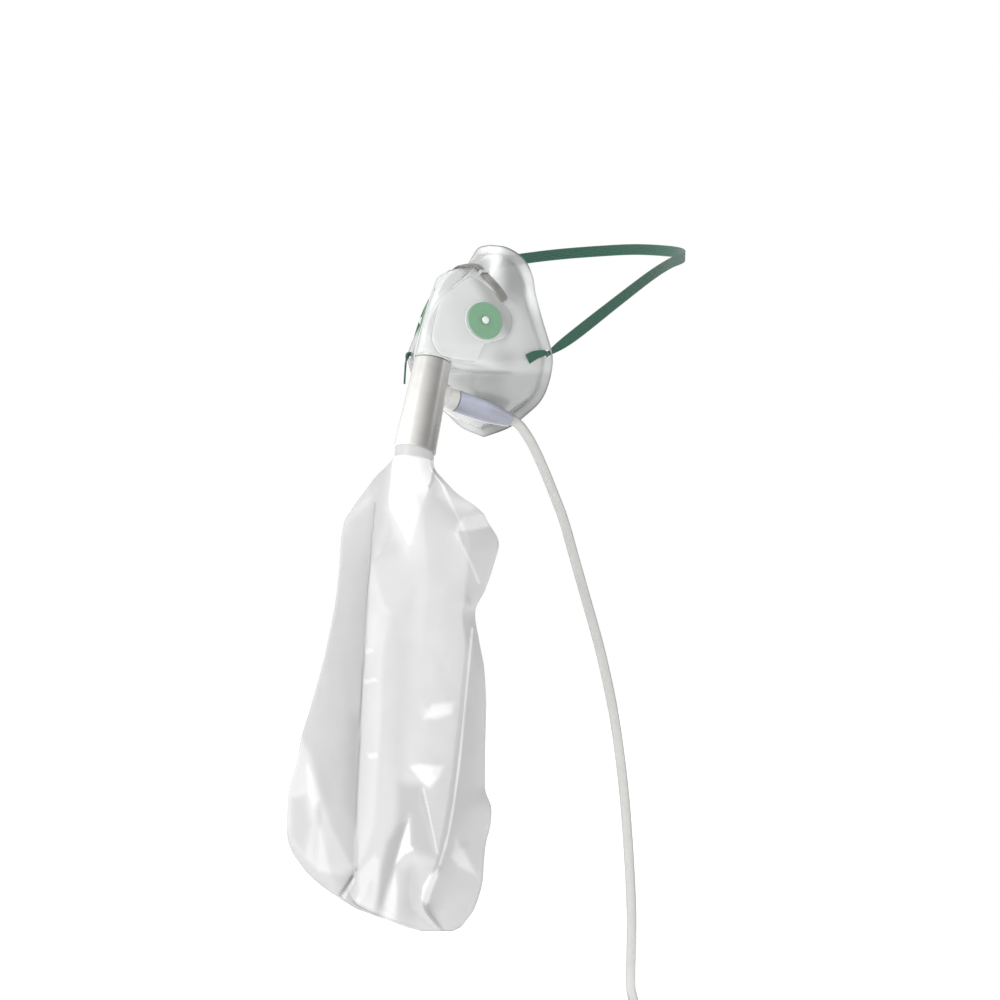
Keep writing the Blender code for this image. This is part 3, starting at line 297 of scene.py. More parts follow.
def clear_plastic(name, face_tone, edge_tone, face_cover, edge_cover, roughness, shine=0.5,
                  shaded=False):
    """See-through plastic: it covers little face on, and more where it is seen edge on."""
    made, tree, shader = new_material(name)
    bend = edge_on(tree, 0.45, 0.25, 0.95)
    colour = blended(tree, bend, face_tone, edge_tone)
    # The tone laid on the mesh carries painted light and shade
    if shaded:
        colour = add_node(tree, "ShaderNodeVectorMath", {"operation": "SCALE"},
                          {0: colour, "Scale": attribute_of(tree, "tone")}).outputs[0]
    cloud = noise_of(tree, 90.0)
    normal = bumped(tree, cloud, 0.5, 0.0002)
    set_inputs(tree, shader, {"Base Color": colour, "Roughness": roughness, "Normal": normal})
    uneven = ranged(tree, cloud, 0.85 * face_cover, 1.15 * face_cover)
    cover = math_of(tree, "MULTIPLY_ADD", bend, edge_cover - face_cover, uneven)
    end_with(tree, glossed(tree, see_through(tree, cover, shader), normal, roughness, shine))
    return made


def shell_vinyl(name, roughness, shine):
    """Clear soft vinyl, a little milky, with the shell's painted light and shade. It covers more and
    turns darker where it is edge on.
    """
    made, tree, shader = new_material(name)
    bend = edge_on(tree, 0.40, 0.35, 0.97)
    dark = math_of(tree, "MULTIPLY", attribute_of(tree, "tone"), ranged(tree, bend, 1.0, 0.55))
    colour = blended(tree, dark, (0.0, 0.0, 0.0), (0.975, 1.0, 0.985))
    normal = bumped(tree, noise_of(tree, 45.0, 1.0), 0.4, 0.0003)
    set_inputs(tree, shader, {"Base Color": colour, "Roughness": roughness, "Normal": normal})
    cover = math_of(tree, "MAXIMUM", ranged(tree, bend, 0.0, 0.95), attribute_of(tree, "milk"))
    end_with(tree, glossed(tree, see_through(tree, cover, shader), normal, roughness, shine))
    return made


def soft_rubber(name, tone, deep, roughness, grain):
    made, tree, shader = new_material(name)
    cloud = noise_of(tree, grain)
    set_inputs(tree, shader, {
        "Base Color": blended(tree, cloud, deep, tone),
        "Roughness": ranged(tree, cloud, 0.85 * roughness, 1.15 * roughness),
        "Normal": bumped(tree, cloud, 0.3, 0.0001),
        "Subsurface Weight": 0.15,
        "Subsurface Radius": (0.002, 0.002, 0.002),
    })
    return made


def rolled_metal(name, tone, deep):
    """Soft sheet metal, rolled along the strip."""
    made, tree, shader = new_material(name)
    grain = noise_of(tree, 500.0, 4.0, (0.15, 1.0, 1.0))
    set_inputs(tree, shader, {
        "Base Color": blended(tree, grain, deep, tone),
        "Metallic": 0.85,
        "Roughness": ranged(tree, grain, 0.30, 0.50),
        "Normal": bumped(tree, grain, 0.3, 0.00005),
    })
    return made


def woven_elastic(name, tone, deep):
    """Rubber cords along the band under a fine cross weave, by the band's own coordinates."""
    made, tree, shader = new_material(name)
    place = add_node(tree, "ShaderNodeUVMap").outputs[0]
    along = add_node(tree, "ShaderNodeTexWave", {"bands_direction": "Y"},
                     {"Vector": place, "Scale": 0.32, "Distortion": 0.6, "Detail": 1.0})
    across = add_node(tree, "ShaderNodeTexWave", {"bands_direction": "X"},
                      {"Vector": place, "Scale": 0.40, "Distortion": 0.4, "Detail": 1.0})
    weave = math_of(tree, "MULTIPLY_ADD", along.outputs["Fac"], 0.55,
                    ranged(tree, across.outputs["Fac"], 0.0, 0.45))
    worn = math_of(tree, "MULTIPLY", weave, ranged(tree, noise_of(tree, 900.0), 0.7, 1.2))
    set_inputs(tree, shader, {
        "Base Color": blended(tree, worn, deep, tone),
        "Roughness": 0.85,
        "Sheen Weight": 0.3,
        "Normal": bumped(tree, worn, 0.7, 0.0003),
    })
    return made


def film_material(name, cover, roughness, shine):
    """Thin film: pale, with a soft gloss. Its tone is the painted light and shade laid on the sheet.
    """
    made, tree, shader = new_material(name)
    tone = attribute_of(tree, "tone")
    cloud = ranged(tree, noise_of(tree, 60.0, 2.0), 0.97 * film_gain, 1.03 * film_gain)
    uneven = math_of(tree, "MULTIPLY", tone, cloud)
    rim = math_of(tree, "MULTIPLY", uneven, edge_on(tree, 0.35, 0.60, 1.0, 1.0, 0.72))
    set_inputs(tree, shader, {
        "Base Color": blended(tree, rim, (0.0, 0.0, 0.004), (1.0, 1.0, 0.996)),
        "Roughness": roughness,
        "Specular IOR Level": shine,
    })
    end_with(tree, see_through(tree, ranged(tree, tone, cover, 1.0, 0.8, 1.0), shader))
    return made


# Mesh tools

def mesh_of(name, points, faces):
    data = bpy.data.meshes.new(name)
    data.from_pydata([tuple(p) for p in points], [], faces)
    work = bmesh.new()
    work.from_mesh(data)
    bmesh.ops.remove_doubles(work, verts=work.verts, dist=weld_distance)
    bmesh.ops.recalc_face_normals(work, faces=work.faces)
    work.to_mesh(data)
    work.free()
    return data


def baked(item):
    """Mesh of the object as its modifiers leave it, in the part's frame."""
    bpy.context.view_layer.update()
    graph = bpy.context.evaluated_depsgraph_get()
    data = bpy.data.meshes.new_from_object(item.evaluated_get(graph), depsgraph=graph)
    data.transform(item.matrix_world)
    return data


def settled(item, name, material, nodes=(), angle=35.0):
    """The final piece: a plain mesh with its material, that rides on the body."""
    data = baked(item)
    data.materials.clear()
    data.materials.append(material)
    data.shade_smooth()
    data.set_sharp_from_angle(angle=math.radians(angle))
    bpy.data.objects.remove(item, do_unlink=True)
    piece = add_object(name, data)
    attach(piece, body)
    if nodes:
        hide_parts(*nodes)
    return piece


def lay_values(piece, name, values, domain="POINT"):
    layer = piece.data.attributes.new(name, "FLOAT", domain)
    layer.data.foreach_set("value", values)


def lay_tones(piece, tone_at):
    """Painted light and shade of each vertex of a piece, from its place and its normal."""
    lay_values(piece, "tone", [tone_at(v.co, v.normal) for v in piece.data.vertices])


def turned(name, profile, steps, place):
    """Body of revolution about the place's Z. The profile runs down the outer side."""
    edges = [(i, i + 1) for i in range(len(profile) - 1)]
    if profile[0][0] > 0 and profile[-1][0] > 0:
        edges.append((len(profile) - 1, 0))
    data = bpy.data.meshes.new(name)
    data.from_pydata([(r, 0.0, z) for r, z in profile], edges, [])
    item = add_object(name, data, place)
    screw = item.modifiers.new("turn", "SCREW")
    screw.steps = steps
    screw.render_steps = steps
    screw.use_merge_vertices = True
    screw.merge_threshold = turn_weld_distance
    return item


def primitive(name, make, place, **sizes):
    """One of bmesh's own shapes, put at the place."""
    data = bpy.data.meshes.new(name)
    work = bmesh.new()
    make(work, **sizes)
    work.to_mesh(data)
    work.free()
    return add_object(name, data, place)


def drilled(name, radius, depth, sides, place):
    """Plain cylinder for a cut, its middle at the place and its axis along Z."""
    return primitive(name, bmesh.ops.create_cone, place, cap_ends=True, segments=sides,
                     radius1=radius, radius2=radius, depth=depth)


def combined(item, others, operation):
    """Union with the others or difference from them, and the others go."""
    for other in others:
        change = item.modifiers.new("change", "BOOLEAN")
        change.operation = operation
        change.solver = "MANIFOLD"
        change.object = other
    data = baked(item)
    name = item.name
    for thing in [item, *others]:
        bpy.data.objects.remove(thing, do_unlink=True)
    return add_object(name, data)


def ring_faces(rows, count):
    """Faces between rings of equal count."""
    return [(r * count + k, r * count + (k + 1) % count, (r + 1) * count + (k + 1) % count,
             (r + 1) * count + k) for r in range(rows - 1) for k in range(count)]


def sheet_faces(rows, count):
    """Faces between rows of equal count that stay open at their ends."""
    return [(r * count + k, r * count + k + 1, (r + 1) * count + k + 1, (r + 1) * count + k)
            for r in range(rows - 1) for k in range(count - 1)]


def closed_loft(name, rings):
    """Solid through rings of equal count, closed at both ends."""
    count = len(rings[0])
    last = (len(rings) - 1) * count
    faces = ring_faces(len(rings), count)
    faces.append(tuple(reversed(range(count))))
    faces.append(tuple(range(last, last + count)))
    return mesh_of(name, [p for ring in rings for p in ring], faces)


def line_through(points, t, corners=()):
    """Point at t on a smooth curve through the points, with a sharp bend at each corner."""
    last = len(points) - 1
    i = min(int(t), last - 1)
    f = t - i
    a = Vector(points[i])
    b = Vector(points[i + 1])
    leave = b - a
    arrive = b - a
    if i > 0 and i not in corners:
        leave = (b - Vector(points[i - 1])) / 2
    if i + 2 <= last and i + 1 not in corners:
        arrive = (Vector(points[i + 2]) - a) / 2
    f2 = f * f
    f3 = f2 * f
    return (a * (2 * f3 - 3 * f2 + 1) + leave * (f3 - 2 * f2 + f)
            + b * (3 * f2 - 2 * f3) + arrive * (f3 - f2))


def axis_place(origin, direction):
    """Matrix at the origin whose Z runs along the direction."""
    z = Vector(direction).normalized()
    x = up_way.cross(z).normalized()
    turn = Matrix((x, z.cross(x), z)).transposed().to_4x4()
    return Matrix.Translation(origin) @ turn


def raised_by(height):
    return Matrix.Translation((0.0, 0.0, height))


def flipped(side):
    """Factor that puts a point of the wearer's left on the side."""
    return Vector((side, 1.0, 1.0))


def smooth_step(value):
    value = min(max(value, 0.0), 1.0)
    return value * value * (3.0 - 2.0 * value)


def above(value, start, length):
    """Nothing up to the start, one from a length past it, and a smooth step between."""
    return smooth_step((value - start) / length)


def below(value, start, length):
    """Nothing down to the start, one from a length under it, and a smooth step between."""
    return smooth_step((start - value) / length)


def near(value, middle, width):
    """One at the middle, and softly less on both sides of it."""
    return math.exp(-((value - middle) / width) ** 2)


# Mask shell: the part's own loft, with more points, and its bends eased. Places are shares of the
# shell's half width, depth and height, and on the flat panel shares of its depth and height.

flange_edge = [(0.00, 0.20, 0.567), (0.20, 0.25, 0.553), (0.37, 0.33, 0.496), (0.50, 0.32, 0.407),
               (0.66, 0.17, 0.309), (0.85, 0.06, 0.163), (1.00, 0.015, 0.016), (1.00, 0.03, -0.065),
               (0.92, 0.06, -0.163), (0.77, 0.12, -0.244), (0.57, 0.15, -0.309),
               (0.33, 0.12, -0.382), (0.00, 0.09, -0.431)]
ridge = [(0.0, -0.11, 0.459), (0.0, -0.37, 0.402), (0.0, -0.66, 0.317), (0.0, -0.885, 0.203),
         (0.0, -0.995, 0.085), (0.0, -0.998, 0.001), (0.0, -0.592, -0.076), (0.0, -0.415, -0.098),
         (0.0, -0.415, -0.195), (0.0, -0.285, -0.285), (0.0, -0.130, -0.350)]
front_top = [(0.055, -0.06, 0.467)]
front_flat = [(-0.123, 0.252), (-0.354, 0.154), (-0.477, 0.073), (-0.562, -0.033), (-0.477, -0.195)]
front_low = [(0.202, -0.585, -0.080), (0.303, -0.369, -0.106), (0.275, -0.408, -0.195),
             (0.239, -0.285, -0.278), (0.147, -0.131, -0.344)]
rear_top = [(0.128, 0.046, 0.476)]
rear_flat = [(0.062, 0.199), (0.215, 0.163), (0.338, 0.081), (0.308, -0.024), (0.123, -0.195)]
rear_low = [(0.640, -0.240, -0.090), (0.605, -0.208, -0.110), (0.550, -0.180, -0.195),
            (0.480, -0.115, -0.268), (0.300, -0.046, -0.333)]
stations = len(flange_edge)
valve_place = (0.4055, -0.437, 0.166)
hole_station = 6.1
hole_share = 0.48
crisp_front = (6, 7, 8)
crisp_rear = (7, 8)
cheek_way = (0.8, -0.6, 0.0)
crown_share = 0.75
panel_outline = [(-0.0060, 0.0300), (-0.0234, 0.0178), (-0.0300, 0.0120), (-0.0340, 0.0013),
                 (-0.0382, -0.0105), (-0.0366, -0.0171), (-0.0336, -0.0218), (-0.0260, -0.0244),
                 (-0.0092, -0.0264), (-0.0077, -0.0257), (-0.0012, -0.0145), (0.0117, -0.0119),
                 (0.0170, -0.0085), (0.0206, -0.0020), (0.0210, 0.0038), (0.0183, 0.0098),
                 (0.0150, 0.0114), (0.0100, 0.0200), (0.0007, 0.0270)]


def sized(share):
    return Vector((share[0] * shell_half_width, share[1] * shell_depth, share[2] * shell_height))


def panel_axes():
    """Ways back along the flat valve panel, up it, and out of it, on the wearer's left."""
    turn = math.radians(valve_azimuth)
    rise = math.radians(valve_rise)
    out = Vector((math.sin(turn) * math.cos(rise), -math.cos(turn) * math.cos(rise),
                  math.sin(rise)))
    back = Vector((math.cos(turn), math.sin(turn), 0.0))
    return back, out.cross(back), out


def flat_line(shares, lift):
    back, up, out = panel_axes()
    base = sized(valve_place) - out * lift
    return [base + back * (p * shell_depth) + up * (q * shell_height) for p, q in shares]


def port_frame():
    """Z runs up the port's axis, and the origin lies at its mouth."""
    turn = Matrix.Rotation(math.radians(-port_lean), 4, "X")
    return Matrix.Translation((0.0, -port_forward, -port_drop)) @ turn


def port_axis():
    return port_frame().to_3x3() @ up_way


def on_underside(point, way):
    place = port_frame().inverted()
    height = (place @ point).z - port_lip
    return point - way * (height / (place.to_3x3() @ way).z)


def flange_line(t):
    return line_through([sized(p) for p in flange_edge], t)


def wall_foot(t):
    """Inner edge of the flange, where the wall of the shell starts."""
    step = 0.05
    along = flange_line(min(t + step, stations - 1.0)) - flange_line(max(t - step, 0.0))
    along.y = 0.0
    inward = Vector((along.z, 0.0, -along.x)).normalized()
    if t < step:
        inward = -up_way
    if t > stations - 1 - step:
        inward = up_way
    flare = math.radians(flange_flare)
    toward = inward * math.cos(flare) + Vector((0.0, -math.sin(flare), 0.0))
    return flange_line(t) + toward * flange_width


def between_feet(points):
    """The points, with the foot of the wall before the first one and after the last one."""
    return [wall_foot(0.0)] + points + [wall_foot(stations - 1.0)]


def ridge_line():
    points = between_feet([sized(share) for share in ridge])
    for i in (6, 7):
        points[i] = on_underside(points[i], port_axis())
    return points


def front_line():
    top = [sized(share) for share in front_top]
    flat = flat_line(front_flat, panel_lift_front)
    flat[-1] = on_underside(flat[-1], panel_axes()[1])
    low = [sized(share) for share in front_low]
    low[0] = on_underside(low[0], port_axis())
    return between_feet(top + flat + low)


def rear_line():
    top = [sized(share) for share in rear_top]
    flat = flat_line(rear_flat, panel_lift_rear)
    low = [sized(share) for share in rear_low]
    return between_feet(top + flat + low)


def bend(a, control, b, f):
    return a * (1 - f) ** 2 + control * (2 * f * (1 - f)) + b * f ** 2


def shell_section(t, lines, counts):
    """Points of one section, from the edge of the flange to the middle of the front."""
    foot = wall_foot(t)
    rear = line_through(lines[0], t, crisp_rear)
    front = line_through(lines[1], t, crisp_front)
    middle = line_through(lines[2], t, crisp_front)
    share = math.sin(math.pi * t / (stations - 1))
    cheek = (foot + rear) / 2 + Vector(cheek_way) * (cheek_bulge * share)
    crown = Vector((front.x * crown_share, middle.y, (front.z + middle.z) / 2))
    cheeks, panels, fronts = counts
    section = [flange_line(t).lerp(foot, share) for share in flange_marks]
    section += [bend(foot, cheek, rear, k / cheeks) for k in range(cheeks + 1)]
    section += [rear.lerp(front, k / panels) for k in range(1, panels + 1)]
    section += [bend(front, crown, middle, k / fronts) for k in range(1, fronts + 1)]
    return section


def shell_grid(per_station, counts, rounds):
    """All sections of the wearer's left half, with their bends eased a little."""
    lines = (rear_line(), front_line(), ridge_line())
    columns = (stations - 1) * per_station
    grid = [shell_section(i / per_station, lines, counts) for i in range(columns + 1)]
    last = len(grid[0]) - 1
    for turn in range(rounds):
        eased = [list(section) for section in grid]
        for i in range(1, columns):
            for k in range(len(flange_marks) + 1, last):
                eased[i][k] = grid[i][k] * 0.4 + 0.15 * (
                    grid[i - 1][k] + grid[i + 1][k] + grid[i][k - 1] + grid[i][k + 1])
            eased[i][last] = grid[i][last] * 0.6 + (grid[i - 1][last] + grid[i + 1][last]) * 0.2
        grid = eased
    return grid


def shell_wall_piece():
    """Both halves of the shell with their wall."""
    grid = shell_grid(columns_per_station, (cheek_parts, panel_parts, front_parts), smooth_rounds)
    points = [p for section in grid for p in section]
    data = mesh_of("mask_shell", points, sheet_faces(len(grid), len(grid[0])))
    for vertex in data.vertices:
        if abs(vertex.co.x) < merge_distance:
            vertex.co.x = 0.0
    item = add_object("mask_shell", data)
    mirror = item.modifiers.new("mirror", "MIRROR")
    mirror.merge_threshold = mirror_weld_distance
    wall = item.modifiers.new("wall", "SOLIDIFY")
    wall.thickness = shell_wall
    wall.offset = -1.0
    wall.use_even_offset = True
    wall.thickness_clamp = 2.0
    item.modifiers.new("flat_faces", "TRIANGULATE")
    return item


def valve_frame(side):
    """X runs along the valve panel and Z out of it."""
    back, up, out = panel_axes()
    flip = flipped(side)
    turn = Matrix((back * flip * side, up * flip, out * flip)).transposed().to_4x4()
    return Matrix.Translation(sized(valve_place) * flip) @ turn


def eased_corners(outline, rounds=2, share=0.22):
    """The outline with each corner cut, and the cuts' corners cut again."""
    for turn in range(rounds):
        cut = []
        for k, (x, y) in enumerate(outline):
            far_x, far_y = outline[(k + 1) % len(outline)]
            cut.append((x + (far_x - x) * share, y + (far_y - y) * share))
            cut.append((far_x - (far_x - x) * share, far_y - (far_y - y) * share))
        outline = cut
    return outline


def valve_panel(side):
    """Raised plate of the shell round one valve, with a soft upper edge."""
    outline = [(side * x, y) for x, y in eased_corners(panel_outline)]
    if side < 0:
        outline.reverse()
    count = len(outline)
    levels = [(-panel_thickness, 0.0, 1.0), (-0.0006, 0.0, 1.0), (-0.0002, 0.0002, 1.0)]
    levels += [(0.0, 0.0007, 1.0 - 0.7 * k / panel_rings) for k in range(panel_rings + 1)]
    rings = []
    for height, inset, spread in levels:
        ring = []
        for k, (x, y) in enumerate(outline):
            along = Vector(outline[(k + 1) % count]) - Vector(outline[k - 1])
            along.normalize()
            ring.append(((x - along.y * inset) * spread, (y + along.x * inset) * spread, height))
        rings.append(ring)
    item = add_object("valve_panel", closed_loft("valve_panel", rings), valve_frame(side))
    item.modifiers.new("flat_faces", "TRIANGULATE")
    return item


lip_top = seat_plate_height + seat_lip_height
disc_bottom = lip_top + gap
disc_top = disc_bottom + disc_thickness
head_bottom = disc_top + gap


def valve_seat(side):
    """Seat plate with its lip and the post of the stud."""
    rim = disc_radius + seat_plate_margin
    bevel = 0.0003
    half = 0.0005
    sink = 2.0 * shell_wall
    post_top = head_bottom + 0.0002
    plate = seat_plate_height
    lip = seat_lip_radius
    profile = [(0.0, post_top), (stud_radius, post_top), (stud_radius, plate),
               (lip - 2 * half, plate), (lip - half, lip_top), (lip + half, lip_top),
               (lip + 2 * half, plate), (rim - bevel, plate), (rim, plate - bevel), (rim, -sink),
               (0.0, -sink)]
    return turned("valve_seat", profile, 72, valve_frame(side))


def valve_vents(side):
    ring = 0.5 * (stud_head_radius + seat_lip_radius)
    holes = []
    for k in range(vent_hole_count):
        angle = 2 * math.pi * k / vent_hole_count
        shift = Matrix.Translation((ring * math.cos(angle), ring * math.sin(angle), 0.0))
        holes.append(drilled("vent", vent_hole_radius, 8 * shell_wall, 24,
                             valve_frame(side) @ shift))
    return holes


def port_socket():
    outer = port_bore_radius + port_wall
    inner = port_bore_radius - port_wall
    profile = [(outer, port_depth), (outer, 0.0), (inner, 0.0), (inner, port_depth)]
    return turned("port_socket", profile, 96, port_frame())


def strap_hole(side):
    """Middle of a strap hole, the way forward through it, and the way out to the edge."""
    edge = flange_line(hole_station)
    foot = wall_foot(hole_station)
    across = (edge - foot).normalized()
    through = across.cross(up_way).normalized()
    if through.y > 0:
        through = -through
    point = edge.lerp(foot, hole_share) - through * (shell_wall / 2)
    return point * flipped(side), through * flipped(side), across * flipped(side)


def clip_stations(count):
    """Middle points and normals of the clip, from the wearer's right end to the left end."""
    grid = shell_grid(2, (4, 3, 3), 0)
    points = [p for section in grid for p in section]
    tree = BVHTree.FromPolygons(points, sheet_faces(len(grid), len(grid[0])))
    held = []
    for i in range(clip_holds):
        share = i / (clip_holds - 1)
        turn = math.radians(clip_arch_sweep * share)
        outward = Vector((math.sin(turn), 0.0, math.cos(turn)))
        forward = 4 * share * (1 - share) * clip_forward
        centre = Vector((merge_distance, clip_back - forward, clip_arch_height))
        point, normal, index, distance = tree.ray_cast(centre + outward * 0.2, -outward)
        if normal.dot(outward) < 0:
            normal = -normal
        if i == 0:
            point.x = 0.0
            normal.x = 0.0
        held.append((point, normal.normalized()))
    held = [(p * flipped(-1), n * flipped(-1)) for p, n in held[:0:-1]] + held
    places = [p for p, n in held]
    ways = [n for p, n in held]
    stops = [i / (2 * count) * (len(held) - 1) for i in range(2 * count + 1)]
    return [(line_through(places, t), line_through(ways, t).normalized()) for t in stops]


def strip_axes(stops, i):
    """Ways across and out of a strip at one of its stops."""
    before = stops[max(i - 1, 0)][0]
    after = stops[min(i + 1, len(stops) - 1)][0]
    along = (after - before).normalized()
    side = along.cross(stops[i][1]).normalized()
    return along, side, side.cross(along).normalized()


def clip_keepers():
    """Two small bridges of the shell over the clip, a third of its length from each end."""
    stops = clip_stations(12)
    inner = clip_width / 2 + gap
    outer = inner + clip_keeper_thickness
    sink = shell_wall * 0.9
    roof = clip_lift + clip_thickness + gap
    top = roof + clip_keeper_thickness
    outline = [(-outer, -sink), (-inner, -sink), (-inner, roof), (inner, roof), (inner, -sink),
               (outer, -sink), (outer, top), (-outer, top)]
    items = []
    for index in (8, 16):
        along, side, out = strip_axes(stops, index)
        rings = [[stops[index][0] + along * (end * clip_keeper_width) + side * a + out * b
                  for a, b in outline] for end in (-0.5, 0.5)]
        item = add_object("clip_keeper", closed_loft("clip_keeper", rings))
        item.modifiers.new("flat_faces", "TRIANGULATE")
        items.append(item)
    return items


def build_shell(material):
    item = shell_wall_piece()
    extras = [valve_panel(1), valve_panel(-1), valve_seat(1), valve_seat(-1), port_socket()]
    item = combined(item, extras + clip_keepers(), "UNION")
    cuts = valve_vents(1) + valve_vents(-1)
    cuts.append(drilled("port", port_bore_radius, 2.2 * port_depth, 96,
                        port_frame() @ raised_by(0.1 * port_depth)))
    for side in (1, -1):
        hole, through, across = strap_hole(side)
        cuts.append(drilled("strap_hole", strap_hole_radius, 6 * shell_wall, 40,
                            axis_place(hole, through)))
    item = combined(item, cuts, "DIFFERENCE")
    piece = settled(item, "clear_shell", material, ["mask_shell"], 48.0)
    lay_shell_tones(piece)


def tree_of(line):
    """Search tree of a line's points on both halves of the shell."""
    per_station = 50
    count = (stations - 1) * per_station + 1
    tree = KDTree(2 * count)
    for k in range(count):
        spot = line(k / per_station)
        tree.insert(spot, 2 * k)
        tree.insert(spot * flipped(-1), 2 * k + 1)
    tree.balance()
    return tree


# Tones of the shell as seen from the front left: painted light and shade, lit from the front left. A
# place across is right of the part's middle and a height is above its origin. A pair is a start and
# a length, or a middle and a width.
shell_plain = 0.48
# Painted light on the side turned to the front left
shell_lit = 0.32
# Painted shade low on the shell, less of it on the left, and more under the chin and on the cheek
low_part = (-0.009, 0.006)
low_part_shade = 0.30
low_left = (0.0010, 0.0100)
low_left_lit = 0.20
chin_shade = 0.32
chin_across = (0.0100, 0.0100)
cheek_shade = 0.36
cheek_across = (0.0170, 0.0080)
cheek_height = (-0.0030, 0.0070)
# The nose: a painted highlight band, and painted shade on its right side
nose_height = (0.030, 0.014)
nose_plain = 0.70
nose_highlight_band = (0.0095, 0.0050)
nose_highlight = 0.22
nose_shade = (0.0110, 0.0100)
nose_shade_dark = 0.34
shell_milk = 0.62
edge_milk = 0.92
edge_width = 0.0008
edge_dark = 0.45
top_height = (0.050, 0.010)
top_edge_dark = 0.77
# Painted shade in the crease at the foot of the wall
foot_width = 0.0013
foot_crease_shade = 0.26
# Painted light on the flange, stronger higher up
brim_reach = (1.30 * flange_width, 0.0012)
brim_light = 0.05
brim_height = (0.018, 0.022)
high_brim_light = 0.36
panel_milk = 0.82
panel_plain = 0.66
# Valve panels: a painted shadow behind the disc, painted light ahead of it and below, and painted
# shade on the panel's step
panel_shadow = 0.29
panel_light = 0.05
panel_step_shade = 0.16
raised_from = -0.0011
raised_to = 0.0012


def shell_tone(point):
    """Painted light and shade of the vinyl away from its edges: lit to the left, shaded grey to the
    right and below.
    """
    outward = Vector((point.x, point.y - 0.012, 0.0)).normalized()
    lit_way = (0.6 * back_way - 0.7 * right_way).normalized()
    across = point.dot(right_way)
    tone = shell_plain + shell_lit * smooth_step(outward.dot(lit_way))
    low = below(point.z, *low_part)
    tone *= 1.0 - low * (low_part_shade - low_left_lit * below(across, *low_left))
    tone *= 1.0 - chin_shade * low * near(across, *chin_across)
    tone *= 1.0 - cheek_shade * near(across, *cheek_across) * near(point.z, *cheek_height)
    nose_tone = nose_plain + nose_highlight * near(across, *nose_highlight_band)
    nose_tone -= nose_shade_dark * above(across, *nose_shade)
    return tone + (nose_tone - tone) * above(point.z, *nose_height)


def panel_tone(x, y):
    """Painted light and shade of a valve panel: a painted shadow behind the disc, and painted light
    ahead of it and below it.
    """
    behind = above(x + 0.50 * y, 0.0045, 0.0110)
    ahead = below(x, -0.0160, 0.0120)
    return panel_plain - panel_shadow * behind + panel_light * (ahead + below(y, -0.0100, 0.0080))


def lay_shell_tones(piece):
    """How milky the vinyl is and its tone, with painted light and shade. Panels are milkier, and
    rims are darker.
    """
    data = piece.data
    edge_tree = tree_of(flange_line)
    foot_tree = tree_of(wall_foot)
    plain = []
    for vertex in data.vertices:
        point = vertex.co
        top = above(point.z, *top_height)
        edge = edge_tree.find(point)[2]
        foot = foot_tree.find(point)[2]
        rim = smooth_step(1.8 - 0.2 * top - edge / edge_width)
        corner = smooth_step(1.4 - foot / foot_width) * (1.0 - rim)
        # Painted light on the flange, stronger higher up and less at the top
        brim = below(edge + foot, *brim_reach)
        light = brim_light + high_brim_light * above(point.z, *brim_height)
        dark = edge_dark + (top_edge_dark - edge_dark) * top
        tone = shell_tone(point) + brim * light * (1.0 - 0.7 * top)
        # Rims darker, and painted shade in the crease at the wall's foot
        tone *= 1.0 - dark * rim - foot_crease_shade * corner
        plain.append((shell_milk + (edge_milk - shell_milk) * max(rim, 0.7 * corner), tone))
    places_in = {side: valve_frame(side).inverted() for side in (1, -1)}
    milks = []
    tones = []
    for face in data.polygons:
        raised = None
        for side, place_in in places_in.items():
            local = place_in @ face.center
            if (raised_from < local.z < raised_to
                    and inside_patch(panel_outline, side * local.x, local.y)):
                raised = side
        for corner in face.loop_indices:
            index = data.loops[corner].vertex_index
            milk, tone = plain[index]
            if raised:
                local = places_in[raised] @ data.vertices[index].co
                milk = panel_milk
                tone = panel_tone(raised * local.x, local.y)
                # Painted shade on the side wall of the raised panel
                tone *= 1.0 - panel_step_shade * below(local.z, -0.0001, 0.0004)
            milks.append(milk)
            tones.append(tone)
    lay_values(piece, "milk", milks, "CORNER")
    lay_values(piece, "tone", tones, "CORNER")


def build_stud(name, side, material):
    """Head of the stud that holds the disc, whitish: milky where the vinyl is thick, and in part a
    painted highlight.
    """
    top = stud_head_height
    wide = 0.85 * stud_head_radius
    shape = [(0.0, 1.0), (0.45, 0.97), (0.75, 0.8), (0.95, 0.5), (1.0, 0.25), (0.93, 0.05),
             (0.85, 0.0), (0.0, 0.0)]
    profile = [(a * wide, b * top) for a, b in shape]
    place = valve_frame(side) @ raised_by(head_bottom)
    settled(turned(name, profile, 48, place), name, material, (), 50.0)


def build_disc(name, node, side, material):
    """Flap disc with a thin bevelled rim and a shallow dish round its stud."""
    inner = stud_radius + gap
    dish = 0.00022
    top = [(0.24, dish), (0.32, 0.4 * dish), (0.42, 0.0), (0.80, 0.0), (0.86, 0.00012), (0.90, 0.0),
           (0.965, 0.00008), (0.99, 0.3 * disc_thickness), (1.0, 0.55 * disc_thickness)]
    profile = [(inner, disc_top - dish)]
    profile += [(share * disc_radius, disc_top - drop) for share, drop in top]
    profile += [(0.98 * disc_radius, disc_bottom), (inner, disc_bottom)]
    settled(turned(name, profile, 120, valve_frame(side)), name, material,
            [node], 40.0)


def build_clip(material):
    """Soft metal strip with rounded edges."""
    stops = clip_stations(clip_parts)
    last = len(stops) - 1
    half = clip_width / 2
    top = clip_thickness
    bevel = 0.0003
    section = [(-half + bevel, 0.0), (half - bevel, 0.0), (half, bevel), (half, top - bevel),
               (half - bevel, top), (-half + bevel, top), (-half, top - bevel), (-half, bevel)]
    rings = []
    for i, (place, normal) in enumerate(stops):
        along, side, out = strip_axes(stops, i)
        narrow = min(1.0, 0.72 + 0.14 * min(i, last - i))
        rings.append([place + side * (a * narrow) + out * (clip_lift + b) for a, b in section])
    item = add_object("nose_strip", closed_loft("nose_strip", rings))
    settled(item, "nose_strip", material, ["nose_clip"], 28.0)


# Head strap

